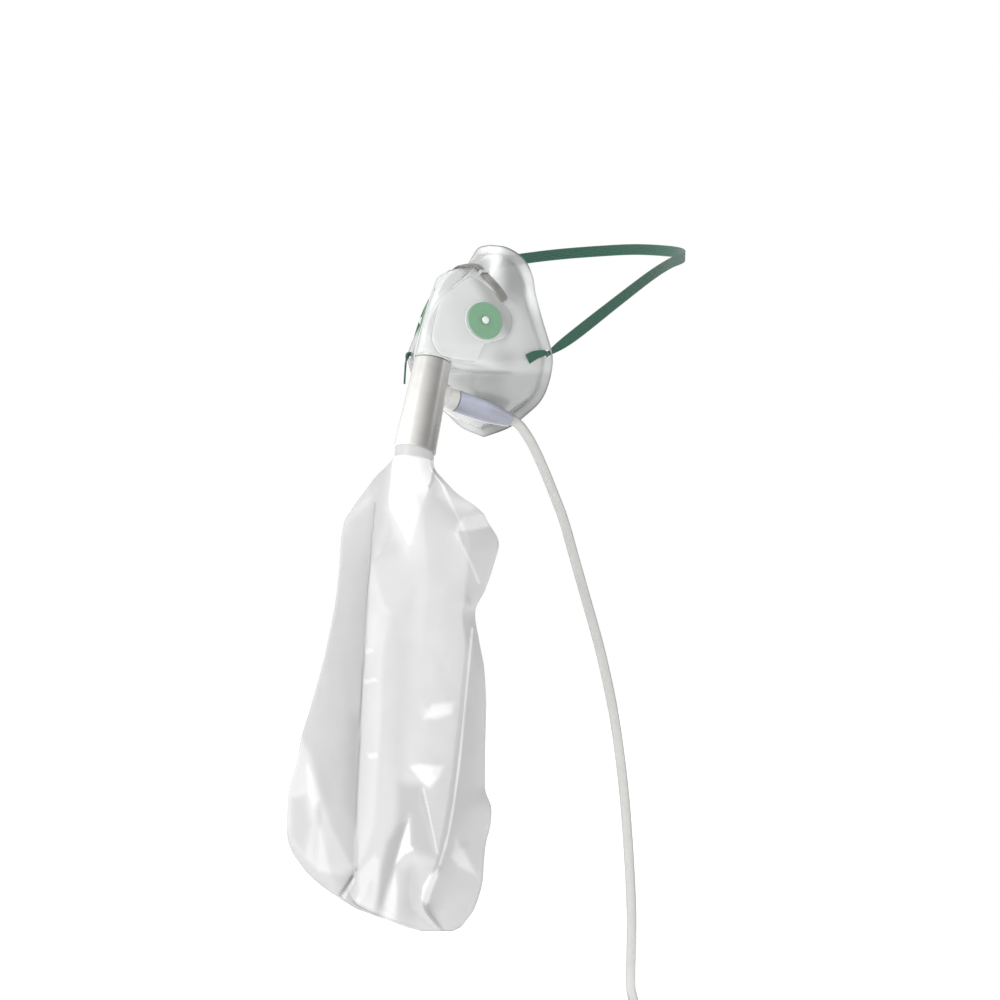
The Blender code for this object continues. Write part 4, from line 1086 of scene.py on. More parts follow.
strap_route = [(0.0600, 0.0170, 0.0110), (0.0710, 0.0500, 0.0325), (0.0755, 0.0845, 0.0500),
               (0.0725, 0.1130, 0.0585), (0.0620, 0.1460, 0.0630), (0.0470, 0.1660, 0.0660),
               (0.0250, 0.1785, 0.0680)]
strap_back = (0.0, 0.1825, 0.0690)
tail_out = (0.81, -0.59, 0.0)
tail_shares = (0.60, 0.85, 0.95)
strap_parts = 12
strap_ribs = 7
rib_parts = 4
left_tail = [(-0.0006, -0.0042, 0.0002), (-0.0040, -0.0084, -0.0012), (-0.0068, -0.0126, -0.0036)]
right_tail = [(-0.0004, -0.0046, -0.0040), (-0.0008, -0.0052, -0.0110), (-0.0012, -0.0054, -0.0190)]


def strap_side(side, tail):
    """Stops of half the strap, from its free end to the back: place, width, thickness, way out."""
    hole, through, across = strap_hole(side)
    centre = Vector((0.0, 0.5 * strap_back[1], 0.0))
    flat_out = Vector(tail_out) * flipped(side)
    stops = [(hole + Vector(place), share * strap_width, strap_thickness, flat_out)
             for place, share in reversed(list(zip(tail, tail_shares)))]
    for reach in (hole_reach, -hole_reach):
        stops.append((hole + through * reach, strap_gather_width, strap_gather_thickness, across))
    stops.append((hole - through * hole_turn + across * (0.3 * hole_turn),
                  0.6 * strap_width, strap_thickness, across))
    for place in strap_route:
        point = Vector(place) * flipped(side)
        out = point - centre
        out.z = 0.0
        stops.append((point, strap_width, strap_thickness, out.normalized()))
    return stops


def strap_section(width, thickness):
    """Outline of the band: rubber cords make ribs on both faces."""
    count = strap_ribs * rib_parts
    half = 0.5 * thickness
    rib_height = 0.2 * half
    upper = []
    for k in range(count + 1):
        share = k / count
        edge = min(share, 1.0 - share) * width
        round_edge = math.sqrt(max(0.0, 1.0 - max(0.0, 1.0 - edge / half) ** 2))
        rib = rib_height * abs(math.sin(math.pi * share * strap_ribs))
        upper.append(((share - 0.5) * width, (half - rib_height + rib) * max(round_edge, 0.12)))
    return upper + [(x, -y) for x, y in reversed(upper)]


def build_strap(material):
    back = (Vector(strap_back), strap_width, strap_thickness, Vector((0.0, 1.0, 0.0)))
    stops = strap_side(1, left_tail) + [back] + strap_side(-1, right_tail)[::-1]
    places = [stop[0] for stop in stops]
    sizes = [Vector((stop[1], stop[2], 0.0)) for stop in stops]
    outs = [stop[3] for stop in stops]
    last = len(stops) - 1.0
    step = 0.05
    line = []
    rings = []
    for i in range((len(stops) - 1) * strap_parts + 1):
        t = i / strap_parts
        point = line_through(places, t)
        line.append(point)
        ahead = line_through(places, min(t + step, last))
        behind = line_through(places, max(t - step, 0.0))
        along = (ahead - behind).normalized()
        size = line_through(sizes, t)
        side = along.cross(line_through(outs, t)).normalized()
        lift = side.cross(along).normalized()
        rings.append([point + side * a + lift * b for a, b in strap_section(size.x, size.y)])
    item = add_object("elastic_strap", closed_loft("elastic_strap", rings))
    piece = settled(item, "elastic_strap", material, ["head_strap"], 45.0)
    lay_strap_coordinates(piece, line, len(rings[0]))


def lay_strap_coordinates(piece, line, count):
    """Coordinates along and across the band in millimetres, for its weave."""
    run = [0.0]
    for a, b in zip(line, line[1:]):
        run.append(run[-1] + (b - a).length)
    half = count // 2
    layer = piece.data.uv_layers.new(name="weave")
    for loop in piece.data.loops:
        ring, k = divmod(loop.vertex_index, count)
        across = k if k < half else count - 1 - k
        layer.data[loop.index].uv = (run[min(ring, len(run) - 1)] / mm,
                                     across / (half - 1) * strap_width / mm)


# Bag connector, its valve and the oxygen inlet

spigot_radius = port_bore_radius - gap
spigot_length = port_depth - 0.0020
neck_seat_radius = body_end_radius - body_wall
moulded_edge = 0.0005
spider_bars = 3
spider_width = 0.0013
spider_depth = 0.0016
post_radius = 0.0014
post_head_radius = 0.0022


def inlet_frame():
    """Oxygen inlet: Z runs out of the bag connector, square to its axis."""
    turn = math.radians(inlet_turn)
    return port_frame() @ axis_place((0.0, 0.0, -inlet_drop), (math.cos(turn), math.sin(turn), 0.0))


def build_connector(material):
    """Moulded tee with its inner spider, rounded where the mould leaves it round."""
    edge = moulded_edge
    low = -body_length
    tee = turned("connector", [
        (0.0, spigot_length), (spigot_radius - edge, spigot_length),
        (spigot_radius, spigot_length - edge), (spigot_radius, -gap), (body_top_radius - edge, -gap),
        (body_top_radius, -gap - edge), (body_end_radius, low + edge), (body_end_radius - edge, low),
        (0.0, low)], 120, port_frame())
    foot = 0.6 * body_top_radius
    root = body_top_radius + 0.0010
    wide = inlet_socket_radius
    tip = inlet_nipple_reach
    socket = turned("inlet_socket", [
        (0.0, tip), (inlet_nipple_radius - 0.0006, tip), (inlet_nipple_radius, tip - 0.0030),
        (inlet_nipple_radius, inlet_socket_reach), (wide - edge, inlet_socket_reach),
        (wide, inlet_socket_reach - edge), (wide, root + 0.0030), (wide + 0.0005, root + 0.0010),
        (wide + 0.0016, root - 0.0004), (wide + 0.0016, foot), (0.0, foot)], 96, inlet_frame())
    bore = spigot_radius - spigot_wall
    neck_stop = low + bag_neck_insert + gap
    hollow = turned("hollow", [
        (0.0, spigot_length + cut_past), (bore, spigot_length + cut_past), (bore, -gap),
        (neck_seat_radius - 0.0010, neck_stop), (neck_seat_radius, neck_stop),
        (neck_seat_radius, low - cut_past), (0.0, low - cut_past)], 120, port_frame())
    bore_tool = turned("bore", [(0.0, tip + cut_past), (inlet_bore_radius, tip + cut_past),
                                (inlet_bore_radius, 0.0), (0.0, 0.0)], 48, inlet_frame())
    item = combined(tee, [socket], "UNION")
    item = combined(item, [hollow, bore_tool], "DIFFERENCE")
    height = spigot_length - 0.0030
    bars = []
    for k in range(spider_bars):
        turn = Matrix.Rotation(math.pi * k / spider_bars, 4, "Z")
        size = (2 * bore + spigot_wall, spider_width, spider_depth - 0.0001 * k, 1.0)
        place = port_frame() @ raised_by(height) @ turn @ Matrix.Diagonal(size)
        bars.append(primitive("spider_bar", bmesh.ops.create_cube, place, size=1.0))
    head = post_head_radius
    post = turned("post", [(0.0, spigot_length + 0.0012), (head, spigot_length + 0.0006),
                           (head, spigot_length), (post_radius, spigot_length),
                           (post_radius, height - spider_depth), (0.0, height - spider_depth)],
                  32, port_frame())
    item = combined(item, bars + [post], "UNION")
    piece = settled(item, "bag_tube", material, ["bag_connector"], 32.0)
    lay_tones(piece, connector_tone)


# Painted light and shade of the connector, across it from -1 to 1 and up it from its top, and of the
# cuffs. A pair is a start and a length, or a middle and a width.
# Connector: painted light down the left side, painted shade down the right and low on it, painted
# light along the right edge, and a painted shadow at the top
tube_lit_tone = 1.12
tube_shade = 0.66
tube_shade_side = (-0.74, 1.25)
tube_edge_light = 0.38
tube_edge_light_side = (0.50, 0.15)
tube_edge_light_height = (-0.0340, 0.0100)
tube_low_shade = 0.14
tube_low_shade_side = (0.0, 0.50)
tube_low_shade_height = (-0.0340, 0.0200)
tube_top_shadow = 0.25
tube_top_height = (-0.0070, 0.0060)
# Inlet: painted light where it faces up
inlet_plain = 0.84
inlet_light = 0.22
# Cuffs: a painted sheen on the upper side and painted shade on the underside
cuff_plain = 0.88
cuff_sheen = 0.36
cuff_highlight_patch = (0.0120, 0.0090)
cuff_highlight = 0.80
cuff_underside_shade = 0.20


def connector_tone(point, normal):
    """White painted light down the connector's left side, painted shade deep grey down its right,
    painted light on its right edge, a painted shadow at its top, and pale on the inlet with painted
    light where it faces up.
    """
    local = port_frame().inverted() @ point
    around = port_frame().to_3x3() @ Vector((local.x, local.y, 0.0))
    if around.length > body_end_radius + 0.0006:
        return inlet_plain + inlet_light * normal.z
    across = around.normalized().dot(right_way)
    tone = tube_lit_tone - tube_shade * above(across, *tube_shade_side)
    tone += tube_edge_light * above(across, *tube_edge_light_side) * above(local.z, *tube_edge_light_height)
    tone -= tube_low_shade * above(across, *tube_low_shade_side) * below(local.z, *tube_low_shade_height)
    return tone * (1.0 - tube_top_shadow * above(local.z, *tube_top_height))


def cuff_tone(along, normal):
    """A painted sheen on the upper side of a cuff, strongest near its mouth, and painted shade on
    its underside.
    """
    sheen_way = (0.80 * back_way + 0.50 * up_way).normalized()
    sheen = cuff_sheen + cuff_highlight * near(along, *cuff_highlight_patch)
    tone = cuff_plain + sheen * max(0.0, normal.dot(sheen_way)) ** 5
    return tone + cuff_underside_shade * min(0.0, normal.z)


def cuff_place():
    return inlet_frame() @ raised_by(inlet_socket_reach + gap)


def build_cuff(name, node, material, place):
    """Soft cuff: straight over the nipple, then drawn in to the tubing."""
    parts = 16
    lip = 0.0006
    slope = 0.3 * lip
    mouth = inlet_nipple_radius + gap
    nipple = inlet_nipple_reach - inlet_socket_reach
    hole = tubing_radius + gap
    stop = cuff_length - tubing_socket_depth - gap
    profile = [(hole, cuff_length), (cuff_tip_radius - lip, cuff_length),
               (cuff_tip_radius - slope, cuff_length - slope), (cuff_tip_radius, cuff_length - lip)]
    for k in range(1, parts + 1):
        share = k / parts
        radius = cuff_tip_radius + (cuff_radius - cuff_tip_radius) * math.sin(share * math.pi / 2)
        profile.append((radius, cuff_length - lip - share * (cuff_length - lip - cuff_straight)))
    profile += [(cuff_radius, lip), (cuff_radius - slope, slope), (cuff_radius - lip, 0.0),
                (mouth, 0.0), (mouth, nipple), (inlet_bore_radius, nipple),
                (inlet_bore_radius, stop), (hole, stop)]
    piece = settled(turned(name, profile, 96, place), name, material, [node], 40.0)
    place_in = place.inverted()
    lay_tones(piece, lambda point, normal: cuff_tone((place_in @ point).z, normal))
    return piece


# Tubing: the part's own route to the coil, then the coil's turns

tubing_route = [(0.0357, 0.0000, -0.0510), (0.0381, 0.0069, -0.0612), (0.0413, 0.0125, -0.0739),
                (0.0454, 0.0166, -0.0879), (0.0507, 0.0208, -0.1057), (0.0568, 0.0237, -0.1293),
                (0.0637, 0.0266, -0.1554), (0.0733, 0.0292, -0.1898), (0.0822, 0.0310, -0.2300),
                (0.0890, 0.0315, -0.2750), (0.0935, 0.0310, -0.3200), (0.0965, 0.0295, -0.3600)]
coil_radius = (tubing_length - coil_free_run) / (2 * math.pi * coil_turns)
coil_top = coil_floor + 2 * coil_high * tubing_radius
winding = [(0, 3), (0, 2), (1, 2), (1, 1), (0, 1), (-1, 1), (-1, 0), (0, 0), (1, 0)]
first_change = 20.0
change_every = 320.0
change_width = 39.5
coil_step = 12.0
climb_delay = 10.0
swing_out = 40.0
column_delay = 20.0
column_swing = 60.0
last_turn_end = 360.0 * 7 + 180.0
climb_past_end = 40.0
end_bend = 0.0160
line_parts = 6
near_straight = 0.004
far_straight = 0.003


def coil_spot(turned_by):
    """Column and layer of the winding, as numbers that change smoothly, at an angle wound."""
    column, layer = winding[0]
    for k in range(1, len(winding)):
        share = smooth_step((turned_by - first_change - change_every * (k - 1)) / change_width + 0.5)
        column += (winding[k][0] - winding[k - 1][0]) * share
        layer += (winding[k][1] - winding[k - 1][1]) * share
    return column, layer


def coil_points():
    """Turns of the coil by degrees wound, then up outside them and round to the cuff on top."""
    thick = 2 * tubing_radius
    climb_from = first_change + change_every * (len(winding) - 1) + climb_delay
    climb_length = last_turn_end + climb_past_end - climb_from
    rest = coil_top + gap + cuff_radius
    points = []
    for k in range(1, int(last_turn_end / coil_step) + 1):
        angle = k * coil_step
        column, layer = coil_spot(angle)
        out = above(angle, climb_from, swing_out)
        column *= 1.0 - (1.0 - out) * above(angle, climb_from + column_delay, column_swing)
        radius = coil_radius + thick * (column + out)
        height = coil_floor + tubing_radius + thick * layer
        height += above(angle, climb_from, climb_length) * (rest - height)
        turn = math.radians(angle)
        points.append(Vector((coil_centre[0] + radius * math.cos(turn),
                              coil_centre[1] + radius * math.sin(turn), height)))
    left = points[-1].x
    for k in range(4):
        turn = math.radians(180.0 + 30.0 * k)
        points.append(Vector((left + end_bend * (1.0 + math.cos(turn)),
                              coil_centre[1] - coil_radius + end_bend * (1.0 + math.sin(turn)),
                              rest)))
    return points


def far_cuff_place():
    """The far cuff lies on the coil with its mouth to the right."""
    return axis_place((coil_centre[0] + 0.5 * cuff_length, coil_centre[1] - coil_radius,
                       coil_top + gap + cuff_radius), (-1.0, 0.0, 0.0))


def tubing_points():
    """Middle line of the whole tubing, from inside one cuff to inside the other."""
    place = cuff_place()
    points = [place @ Vector((0.0, 0.0, cuff_length + past))
              for past in (-tubing_socket_depth, near_straight)]
    points += [Vector(p) for p in tubing_route]
    rest = coil_top + tubing_radius + gap
    for k in range(5):
        angle = math.radians(22.5 * k)
        points.append(Vector((coil_centre[0] + coil_radius,
                              coil_centre[1] - arrival_bend * math.cos(angle),
                              rest + arrival_bend * (1.0 - math.sin(angle)))))
    points += coil_points()
    place = far_cuff_place()
    points += [place @ Vector((0.0, 0.0, cuff_length + past))
               for past in (far_straight, gap - tubing_socket_depth)]
    return [line_through(points, i / line_parts)
            for i in range((len(points) - 1) * line_parts + 1)]


def build_tubing(material):
    line = tubing_points()
    curve = bpy.data.curves.new("clear_tubing", "CURVE")
    curve.dimensions = "3D"
    curve.bevel_depth = tubing_radius
    curve.bevel_resolution = 5
    curve.use_fill_caps = True
    spline = curve.splines.new("POLY")
    spline.points.add(len(line) - 1)
    for point, place in zip(spline.points, line):
        point.co = (*place, 1.0)
    curve.materials.append(material)
    tubing = add_object("clear_tubing", curve)
    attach(tubing, body)
    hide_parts("oxygen_tubing", "tubing_coil")
    tuple(line[0])


# Reservoir bag. Each line runs down it. Stops are shares of its length, places are shares of its
# width from the middle of the neck, and depths are shares of its depth towards the front.

seam_stops = [0.000, 0.033, 0.085, 0.125, 0.148, 0.187, 0.233, 0.289, 0.331, 0.393, 0.446, 0.521,
              0.593, 0.643, 0.705, 0.738, 0.777, 0.813, 0.849, 0.898, 0.951, 0.987, 1.000]
seam_right = [-0.093, -0.155, -0.242, -0.308, -0.340, -0.354, -0.360, -0.372, -0.387, -0.415,
              -0.444, -0.493, -0.545, -0.568, -0.607, -0.615, -0.619, -0.612, -0.568, -0.464,
              -0.276, -0.044, 0.069]
seam_left = [0.093, 0.099, 0.198, 0.325, 0.362, 0.414, 0.392, 0.347, 0.300, 0.318, 0.342, 0.352,
             0.349, 0.347, 0.349, 0.377, 0.373, 0.352, 0.342, 0.332, 0.292, 0.228, 0.162]
fold_stops = [0.000, 0.098, 0.187, 0.233, 0.295, 0.331, 0.393, 0.521, 0.662, 0.767, 0.856, 0.941,
              1.000]
valley_place = [-0.069, -0.185, -0.208, -0.222, -0.231, -0.238, -0.246, -0.256, -0.277, -0.286,
                -0.291, -0.288, 0.100]
brow_place = [-0.038, -0.100, -0.108, -0.200, -0.169, -0.131, -0.119, -0.119, -0.123, -0.131,
              -0.146, -0.154, 0.112]
crest_place = [0.031, 0.062, 0.077, 0.092, 0.092, 0.085, 0.077, 0.069, 0.054, 0.031, 0.008,
               -0.008, 0.123]
pleat_place = [0.069, 0.169, 0.277, 0.285, 0.269, 0.273, 0.278, 0.250, 0.214, 0.174, 0.125,
               0.055, 0.138]
pleat_step = 0.017
depth_stops = [0.000, 0.098, 0.230, 0.393, 0.656, 0.820, 0.951, 1.000]
seam_right_depth = [0.000, 0.042, 0.104, 0.146, 0.146, 0.104, 0.042, 0.000]
valley_depth = [0.167, 0.125, 0.042, 0.000, -0.021, 0.021, 0.021, 0.033]
brow_depth = [0.229, 0.271, 0.104, 0.292, 0.354, 0.312, 0.125, 0.042]
crest_depth = [0.229, 0.354, 0.438, 0.479, 0.521, 0.417, 0.167, 0.050]
pleat_depth = [0.188, 0.250, 0.354, 0.438, 0.500, 0.458, 0.250, 0.050]
under_depth = [0.188, 0.250, 0.312, 0.271, 0.292, 0.250, 0.125, 0.033]
seam_left_depth = [0.000, 0.042, 0.062, 0.062, 0.042, 0.042, 0.021, 0.000]
back_depth = [0.250, 0.292, 0.354, 0.375, 0.417, 0.333, 0.125, 0.050]

# Lesser folds of the front sheet: points, height, and width to the right and the left of the line
bag_folds = [
    ([(0.328, 0.110), (0.226, 0.169), (0.338, 0.290)], 0.075, 0.035, 0.110),
    ([(-0.004, 0.740), (-0.073, 0.859), (-0.152, 0.977)], -0.104, 0.080, 0.055),
    ([(-0.538, 0.600), (-0.462, 0.770), (-0.375, 0.930)], 0.083, 0.080, 0.080),
    ([(0.045, 0.693), (0.135, 0.839)], 0.040, 0.020, 0.040),
    ([(-0.285, 0.859), (-0.340, 0.928)], -0.060, 0.020, 0.020),
    ([(-0.206, 0.885), (-0.261, 0.951)], 0.045, 0.020, 0.018),
    ([(0.234, 0.807), (0.318, 0.885)], 0.040, 0.045, 0.045),
    ([(0.046, 0.548), (0.231, 0.528)], 0.034, 0.030, 0.025),
    ([(-0.031, 0.666), (0.169, 0.672)], 0.045, 0.030, 0.050),
    ([(-0.215, 0.636), (-0.146, 0.630)], 0.018, 0.015, 0.015),
    ([(-0.446, 0.728), (-0.477, 0.879)], -0.036, 0.022, 0.022),
    ([(0.138, 0.039), (0.277, 0.098), (0.400, 0.164)], 0.033, 0.022, 0.022),
    ([(0.135, 0.859), (0.058, 0.941)], 0.055, 0.038, 0.015),
]
crease_round = 0.0004

# Points of the front sheet between its lines, and of the back sheet
sheet_parts = [28, 12, 20, 20, 4, 16]
back_parts = 36
bag_rings = 230
outer_end = 0.996
panel_puff = 0.05
least_panel = 0.03

# Tone of the film as seen from the front left, traced over the photograph: painted light and shade,
# with painted highlights and the painted shade of folds. Places are in millimetres right of the
# neck's middle and below it. Each patch has a tone, the softness of its edge and its corners.
film_light_and_shade_patches = [
    (0.75, 1.2, [(-55.4, 13), (-24.9, 31.3), (-27, 53.7), (-28.2, 74), (-30, 90.2),
     (-31.4, 122.7), (-33.5, 147.1), (-35.5, 195.8), (-36.5, 216.2), (-37.1, 266.9),
     (-45.2, 254.7), (-85.9, 195.8), (-85.9, 33.4)]),
    (0.655, 6, [(-40.2, 167.4), (-34.7, 167.4), (-35.9, 195.8), (-36.5, 236.5), (-44.2, 222.2),
     (-43.2, 187.7)]),
    (0.70, 3, [(-18.8, 4.9), (-14.8, 17.1), (-15.8, 33.4), (-24.9, 59.8), (-26.6, 67.9),
     (-27.6, 40), (-28.2, 18)]),
    (0.86, 5, [(-17.8, 36.4), (-11.7, 53.7), (-7.7, 63.8), (-3.2, 66.3), (1.9, 58.7),
     (9.6, 30.3), (11.6, 13), (-14.8, 13)]),
    (0.985, 0.8, [(-13.2, 1.7), (12.8, 5.3), (12.4, 11), (9.6, 22.2), (6.6, 30.3), (3.5, 39.5),
     (0.5, 47.6), (-2.2, 58.1), (-3.6, 59), (-8.7, 47.6), (-14.8, 37), (-15.8, 31.3),
     (-14.4, 17.1)]),
    (0.84, 2, [(-27.8, 70.9), (-24.9, 80.1), (-21.9, 90.2), (-18, 97.3), (-14.4, 100.8),
     (-13.6, 106.5), (-18.4, 122.7), (-20.5, 147.1), (-20.5, 175.5), (-22.5, 195.8),
     (-24.9, 236.5), (-30.6, 254.7), (-36.5, 264.9), (-36.1, 216.2), (-32.6, 147.1),
     (-30.6, 114.6)]),
    (0.84, 3, [(-27.4, 70.5), (-25.7, 74), (-22.5, 84.5), (-19.6, 94.3), (-22.5, 98.4),
     (-27, 96.3)]),
    (0.87, 3, [(-28.6, 102.4), (-22.5, 104), (-23.7, 122.7), (-29, 126.8)]),
    (0.7, 7, [(-14.8, 106.5), (-0.6, 90.2), (-0.6, 122.7), (-4.6, 175.5), (-8.7, 208),
     (-14.4, 195.8), (-14.8, 147.1)]),
    (0.8, 8, [(3.5, 29.3), (24.8, 49.6), (36, 106.5), (30.9, 147.1), (23.8, 195.8), (9.6, 195.8),
     (3.5, 122.7), (3.5, 69.9)]),
    (0.79, 1.2, [(27.9, 51.6), (36, 50.4), (52.2, 56.1), (52.2, 63.8), (44.1, 88.2),
     (40.5, 84.1), (34, 68.3)]),
    (0.93, 1.2, [(27.9, 50.6), (29.1, 46), (36, 40.7), (44.1, 39.5), (49.2, 47.6), (36, 50.4)]),
    (0.96, 5, [(12.7, 8.6), (21.8, 13.1), (34, 23.2), (44.1, 33.4), (36, 40.4), (23.8, 35.3),
     (15.7, 28.2)]),
    (0.97, 0.9, [(22.8, 22.8), (27.9, 24.8), (30.7, 28.9), (25.4, 27.7)]),
    (0.72, 1.5, [(36.4, 113.8), (44.1, 134.9), (44.9, 214.1), (48.6, 224.3), (44.1, 228.3),
     (27.9, 242.6), (19.8, 249.1), (24.8, 220.2), (28.3, 195.8), (31.3, 165.4), (34.4, 134.9)]),
    (0.77, 3, [(40.5, 122.7), (46.2, 134.9), (45.7, 212.1), (38.4, 212.1)]),
    (0.74, 3, [(27.9, 232.4), (44.1, 222.2), (44.1, 256.8), (40.1, 287.2), (27.9, 303.5),
     (9.6, 305.5), (-12.7, 297.4), (-8.7, 262.9), (15.7, 260.8)]),
    (0.6, 4, [(-10.3, 210.1), (3.5, 211.1), (9.6, 234.4), (13.7, 256.8), (3.5, 254.7),
     (-2.2, 250.7), (-2.6, 230.4), (-7.1, 244.6), (-11.5, 240.5)]),
    (0.95, 2.2, [(11.6, 160.1), (25, 158.7), (23.8, 165.4), (14.1, 169), (6.1, 168.6), (8, 164.6)]),
    (0.96, 2.2, [(-2.2, 199.5), (3.5, 197.7), (18.1, 198.9), (16.1, 205.6), (9.6, 212.5),
     (5.1, 209.2)]),
    (0.95, 0.8, [(-29.8, 191.8), (-23.3, 191), (-22.9, 193.4), (-28.2, 194.6)]),
    (0.93, 0.6, [(-32.6, 145.5), (-24.9, 143.4), (-22.5, 145.1), (-31.4, 147.5)]),
    (0.92, 0.6, [(-31.4, 126), (-26.6, 124.8), (-25.3, 126.8), (-29.8, 128.4)]),
    (0.55, 2.5, [(-4.2, 234.4), (-7.9, 246.6), (-12.3, 261.8), (-17.2, 277.1), (-22.3, 296.2),
     (-24.9, 293.3), (-21.3, 264.9), (-16.8, 246.6), (-9.1, 234.4)]),
    (0.9, 1.5, [(-11.9, 262.9), (-10.3, 277.1), (-11.1, 297.4), (-21.7, 296.2), (-16.8, 277.5)]),
    (0.985, 0.7, [(-3, 232.2), (-2.2, 249.1), (0.3, 251.7), (-6.2, 254.7), (-12.7, 262.5),
     (-7.9, 246.6)]),
    (0.99, 0.7, [(15.1, 262.5), (14.1, 270.6), (8.8, 285.2), (6.6, 287.2), (4.3, 282.8),
     (5.5, 275.5), (9.6, 268.1)]),
    (0.66, 4, [(-8, 266), (0, 262), (4, 280), (0, 298), (-10, 297)]),
    (0.87, 2, [(26.3, 244.6), (29.1, 249.1), (40.5, 269.4), (27.9, 262.9), (23, 256.8)]),
    (0.86, 2.4, [(-71.2, 181.6), (-65.5, 192.8), (-61.1, 206), (-57.4, 222.2), (-52.1, 238.1),
     (-44, 254.3), (-37.9, 266.1), (-44.2, 269), (-61.5, 265.9), (-77.7, 248.6), (-83.8, 232.4),
     (-81.8, 208)]),
    (0.98, 1.6, [(-67.6, 197.9), (-63.1, 208), (-59.9, 220.2), (-63.1, 226.3), (-66.4, 216.2)]),
    (0.74, 3, [(-77.7, 220.2), (-68.8, 218.2), (-66, 236.5), (-69.6, 254.7), (-77.7, 244.6)]),
    (0.36, 0.5, [(-40, 268.1), (-38.3, 269), (-42.4, 275), (-46.9, 282), (-48.1, 281.1)]),
    (0.97, 0.6, [(-38.3, 269.8), (-37.1, 271.4), (-44, 283.6), (-46.5, 282)]),
    (0.95, 0.7, [(-29, 270.6), (-31.4, 281.1), (-35.9, 286.4), (-37.1, 284.4)]),
    (0.86, 2, [(-35.9, 266.9), (-24.9, 254.7), (-21.7, 258.8), (-22.9, 277.1), (-24.9, 291.3),
     (-35.1, 286.4)]),
]

# Narrow lines in the film, painted highlights and painted shade along its folds: tone, half width
# and points
film_light_and_shade_lines = [
    (0.5, 0.55, [(-24.5, 32.5), (-26.8, 53.7), (-28, 74), (-29.8, 90.2), (-31.2, 122.7),
     (-33.3, 147.1), (-35.3, 195.8), (-36.3, 216.2), (-36.9, 265.9)]),
    (0.995, 0.75, [(36.2, 112.6), (34.2, 134.9), (31.1, 165.4), (28.1, 195.8), (25, 220.2),
     (21, 242.6), (15.7, 261.2)]),
    (0.89, 0.9, [(41.3, 39), (36, 40.7), (30.9, 43.5), (27.5, 48.6), (26.7, 52), (29.1, 57.7),
     (34, 67.9), (40.5, 82.9)]),
    (0.9, 0.7, [(5.9, 213.1), (9.2, 228.3), (14.5, 253.5)]),
    (0.55, 0.5, [(12.4, 11.4), (11.2, 19.1), (9.2, 23.2)]),
    (0.97, 0.8, [(13.3, 11.8), (19.8, 19.1), (27.9, 25.2), (36, 31.3), (44.1, 39), (49.8, 47.2),
     (53.5, 56.9)]),
    (0.72, 0.5, [(-13.2, 2.1), (-0.6, 2.9), (12.8, 5.7)]),
]

# Strength of the film's painted light and shade, the tone outside all patches, and how the painted
# tones show through on the back sheet
film_gain = 0.78
film_plain = 0.765
film_back = 0.76
film_through = 0.55
film_blur = 5.0


def bag_value(stops, values, share):
    """Value of one of the bag's lines at a share of its length."""
    k = 0
    while k < len(stops) - 2 and share > stops[k + 1]:
        k += 1
    f = min(max((share - stops[k]) / (stops[k + 1] - stops[k]), 0.0), 1.0)
    return line_through([(value, 0.0, 0.0) for value in values], k + f).x


def front_marks(share):
    """Place and depth of each line of the front sheet, from the right seam to the left one."""
    right = bag_value(seam_stops, seam_right, share)
    left = bag_value(seam_stops, seam_left, share)
    pleat = bag_value(fold_stops, pleat_place, share)
    places = [right, bag_value(fold_stops, valley_place, share),
              bag_value(fold_stops, brow_place, share), bag_value(fold_stops, crest_place, share),
              pleat, pleat + pleat_step, left]
    depths = [seam_right_depth, valley_depth, brow_depth, crest_depth, pleat_depth, under_depth,
              seam_left_depth]
    least = least_panel * (left - right)
    marks = []
    for k, (place, depth) in enumerate(zip(places, depths)):
        if 0 < k < len(places) - 1:
            place = min(max(place, right + least * k), left - least * (len(places) - 1 - k))
            place = max(place, marks[-1][0] / bag_width + 0.1 * least)
        marks.append((place * bag_width, bag_value(depth_stops, depth, share) * bag_depth))
    return marks


def fold_height(fold, place, down):
    """Height of one lesser fold: a sharp line that fades to both sides and towards its ends."""
    points, height, before, past = fold
    points = [(a * bag_width, b * bag_length) for a, b in points]
    away, turn, share = nearest_on_line(points, place, down)
    width = (before if turn < 0 else past) * bag_width
    fade = smooth_step(4 * share) * smooth_step(4 * (1 - share))
    return height * bag_depth * fade * math.exp(-math.hypot(away, crease_round) / width)


def front_sheet(share, marks):
    """Points across the front sheet, from the right seam to short of the left one."""
    sheet = []
    for (ax, ay), (bx, by), parts in zip(marks, marks[1:], sheet_parts):
        for i in range(parts):
            f = i / parts
            place = ax + (bx - ax) * f
            depth = ay + (by - ay) * f + 4 * f * (1 - f) * panel_puff * (bx - ax)
            room = smooth_step(8 * (place - marks[0][0]) / bag_width)
            room *= smooth_step(8 * (marks[-1][0] - place) / bag_width)
            for fold in bag_folds:
                depth += room * fold_height(fold, place, share * bag_length)
            sheet.append((place, depth))
    return sheet


def back_sheet(share, marks):
    """Points across the back sheet, from the left seam to short of the right one."""
    (right, right_depth), (left, left_depth) = marks[0], marks[-1]
    hollow = bag_value(depth_stops, back_depth, share) * bag_depth
    sheet = []
    for k in range(back_parts):
        v = math.cos(math.pi * k / back_parts)
        f = (v + 1) / 2
        depth = right_depth + (left_depth - right_depth) * f
        sheet.append((right + (left - right) * f, depth - hollow * (1 - abs(v) ** 2.4) ** 0.6))
    return sheet


def bag_ring(share):
    """Places and depths round the bag: the front sheet, then the back one."""
    marks = front_marks(share)
    ring = []
    for sheet, seam, seed in ((front_sheet, marks[0], 1.0), (back_sheet, marks[-1], 2.0)):
        ring.append(seam)
        ring += [(place, depth + film_ripple(place, share * bag_length, seed))
                 for place, depth in sheet(share, marks)[1:]]
    return ring


def film_ripple(place, down, seed):
    """Slight unevenness of a sheet of film."""
    broad = noise.noise((place * 40.0, down * 17.0, seed * 5.3))
    fine = noise.noise((place * 120.0, down * 60.0, seed * 9.1))
    return broad * 0.0012 + fine * 0.0003


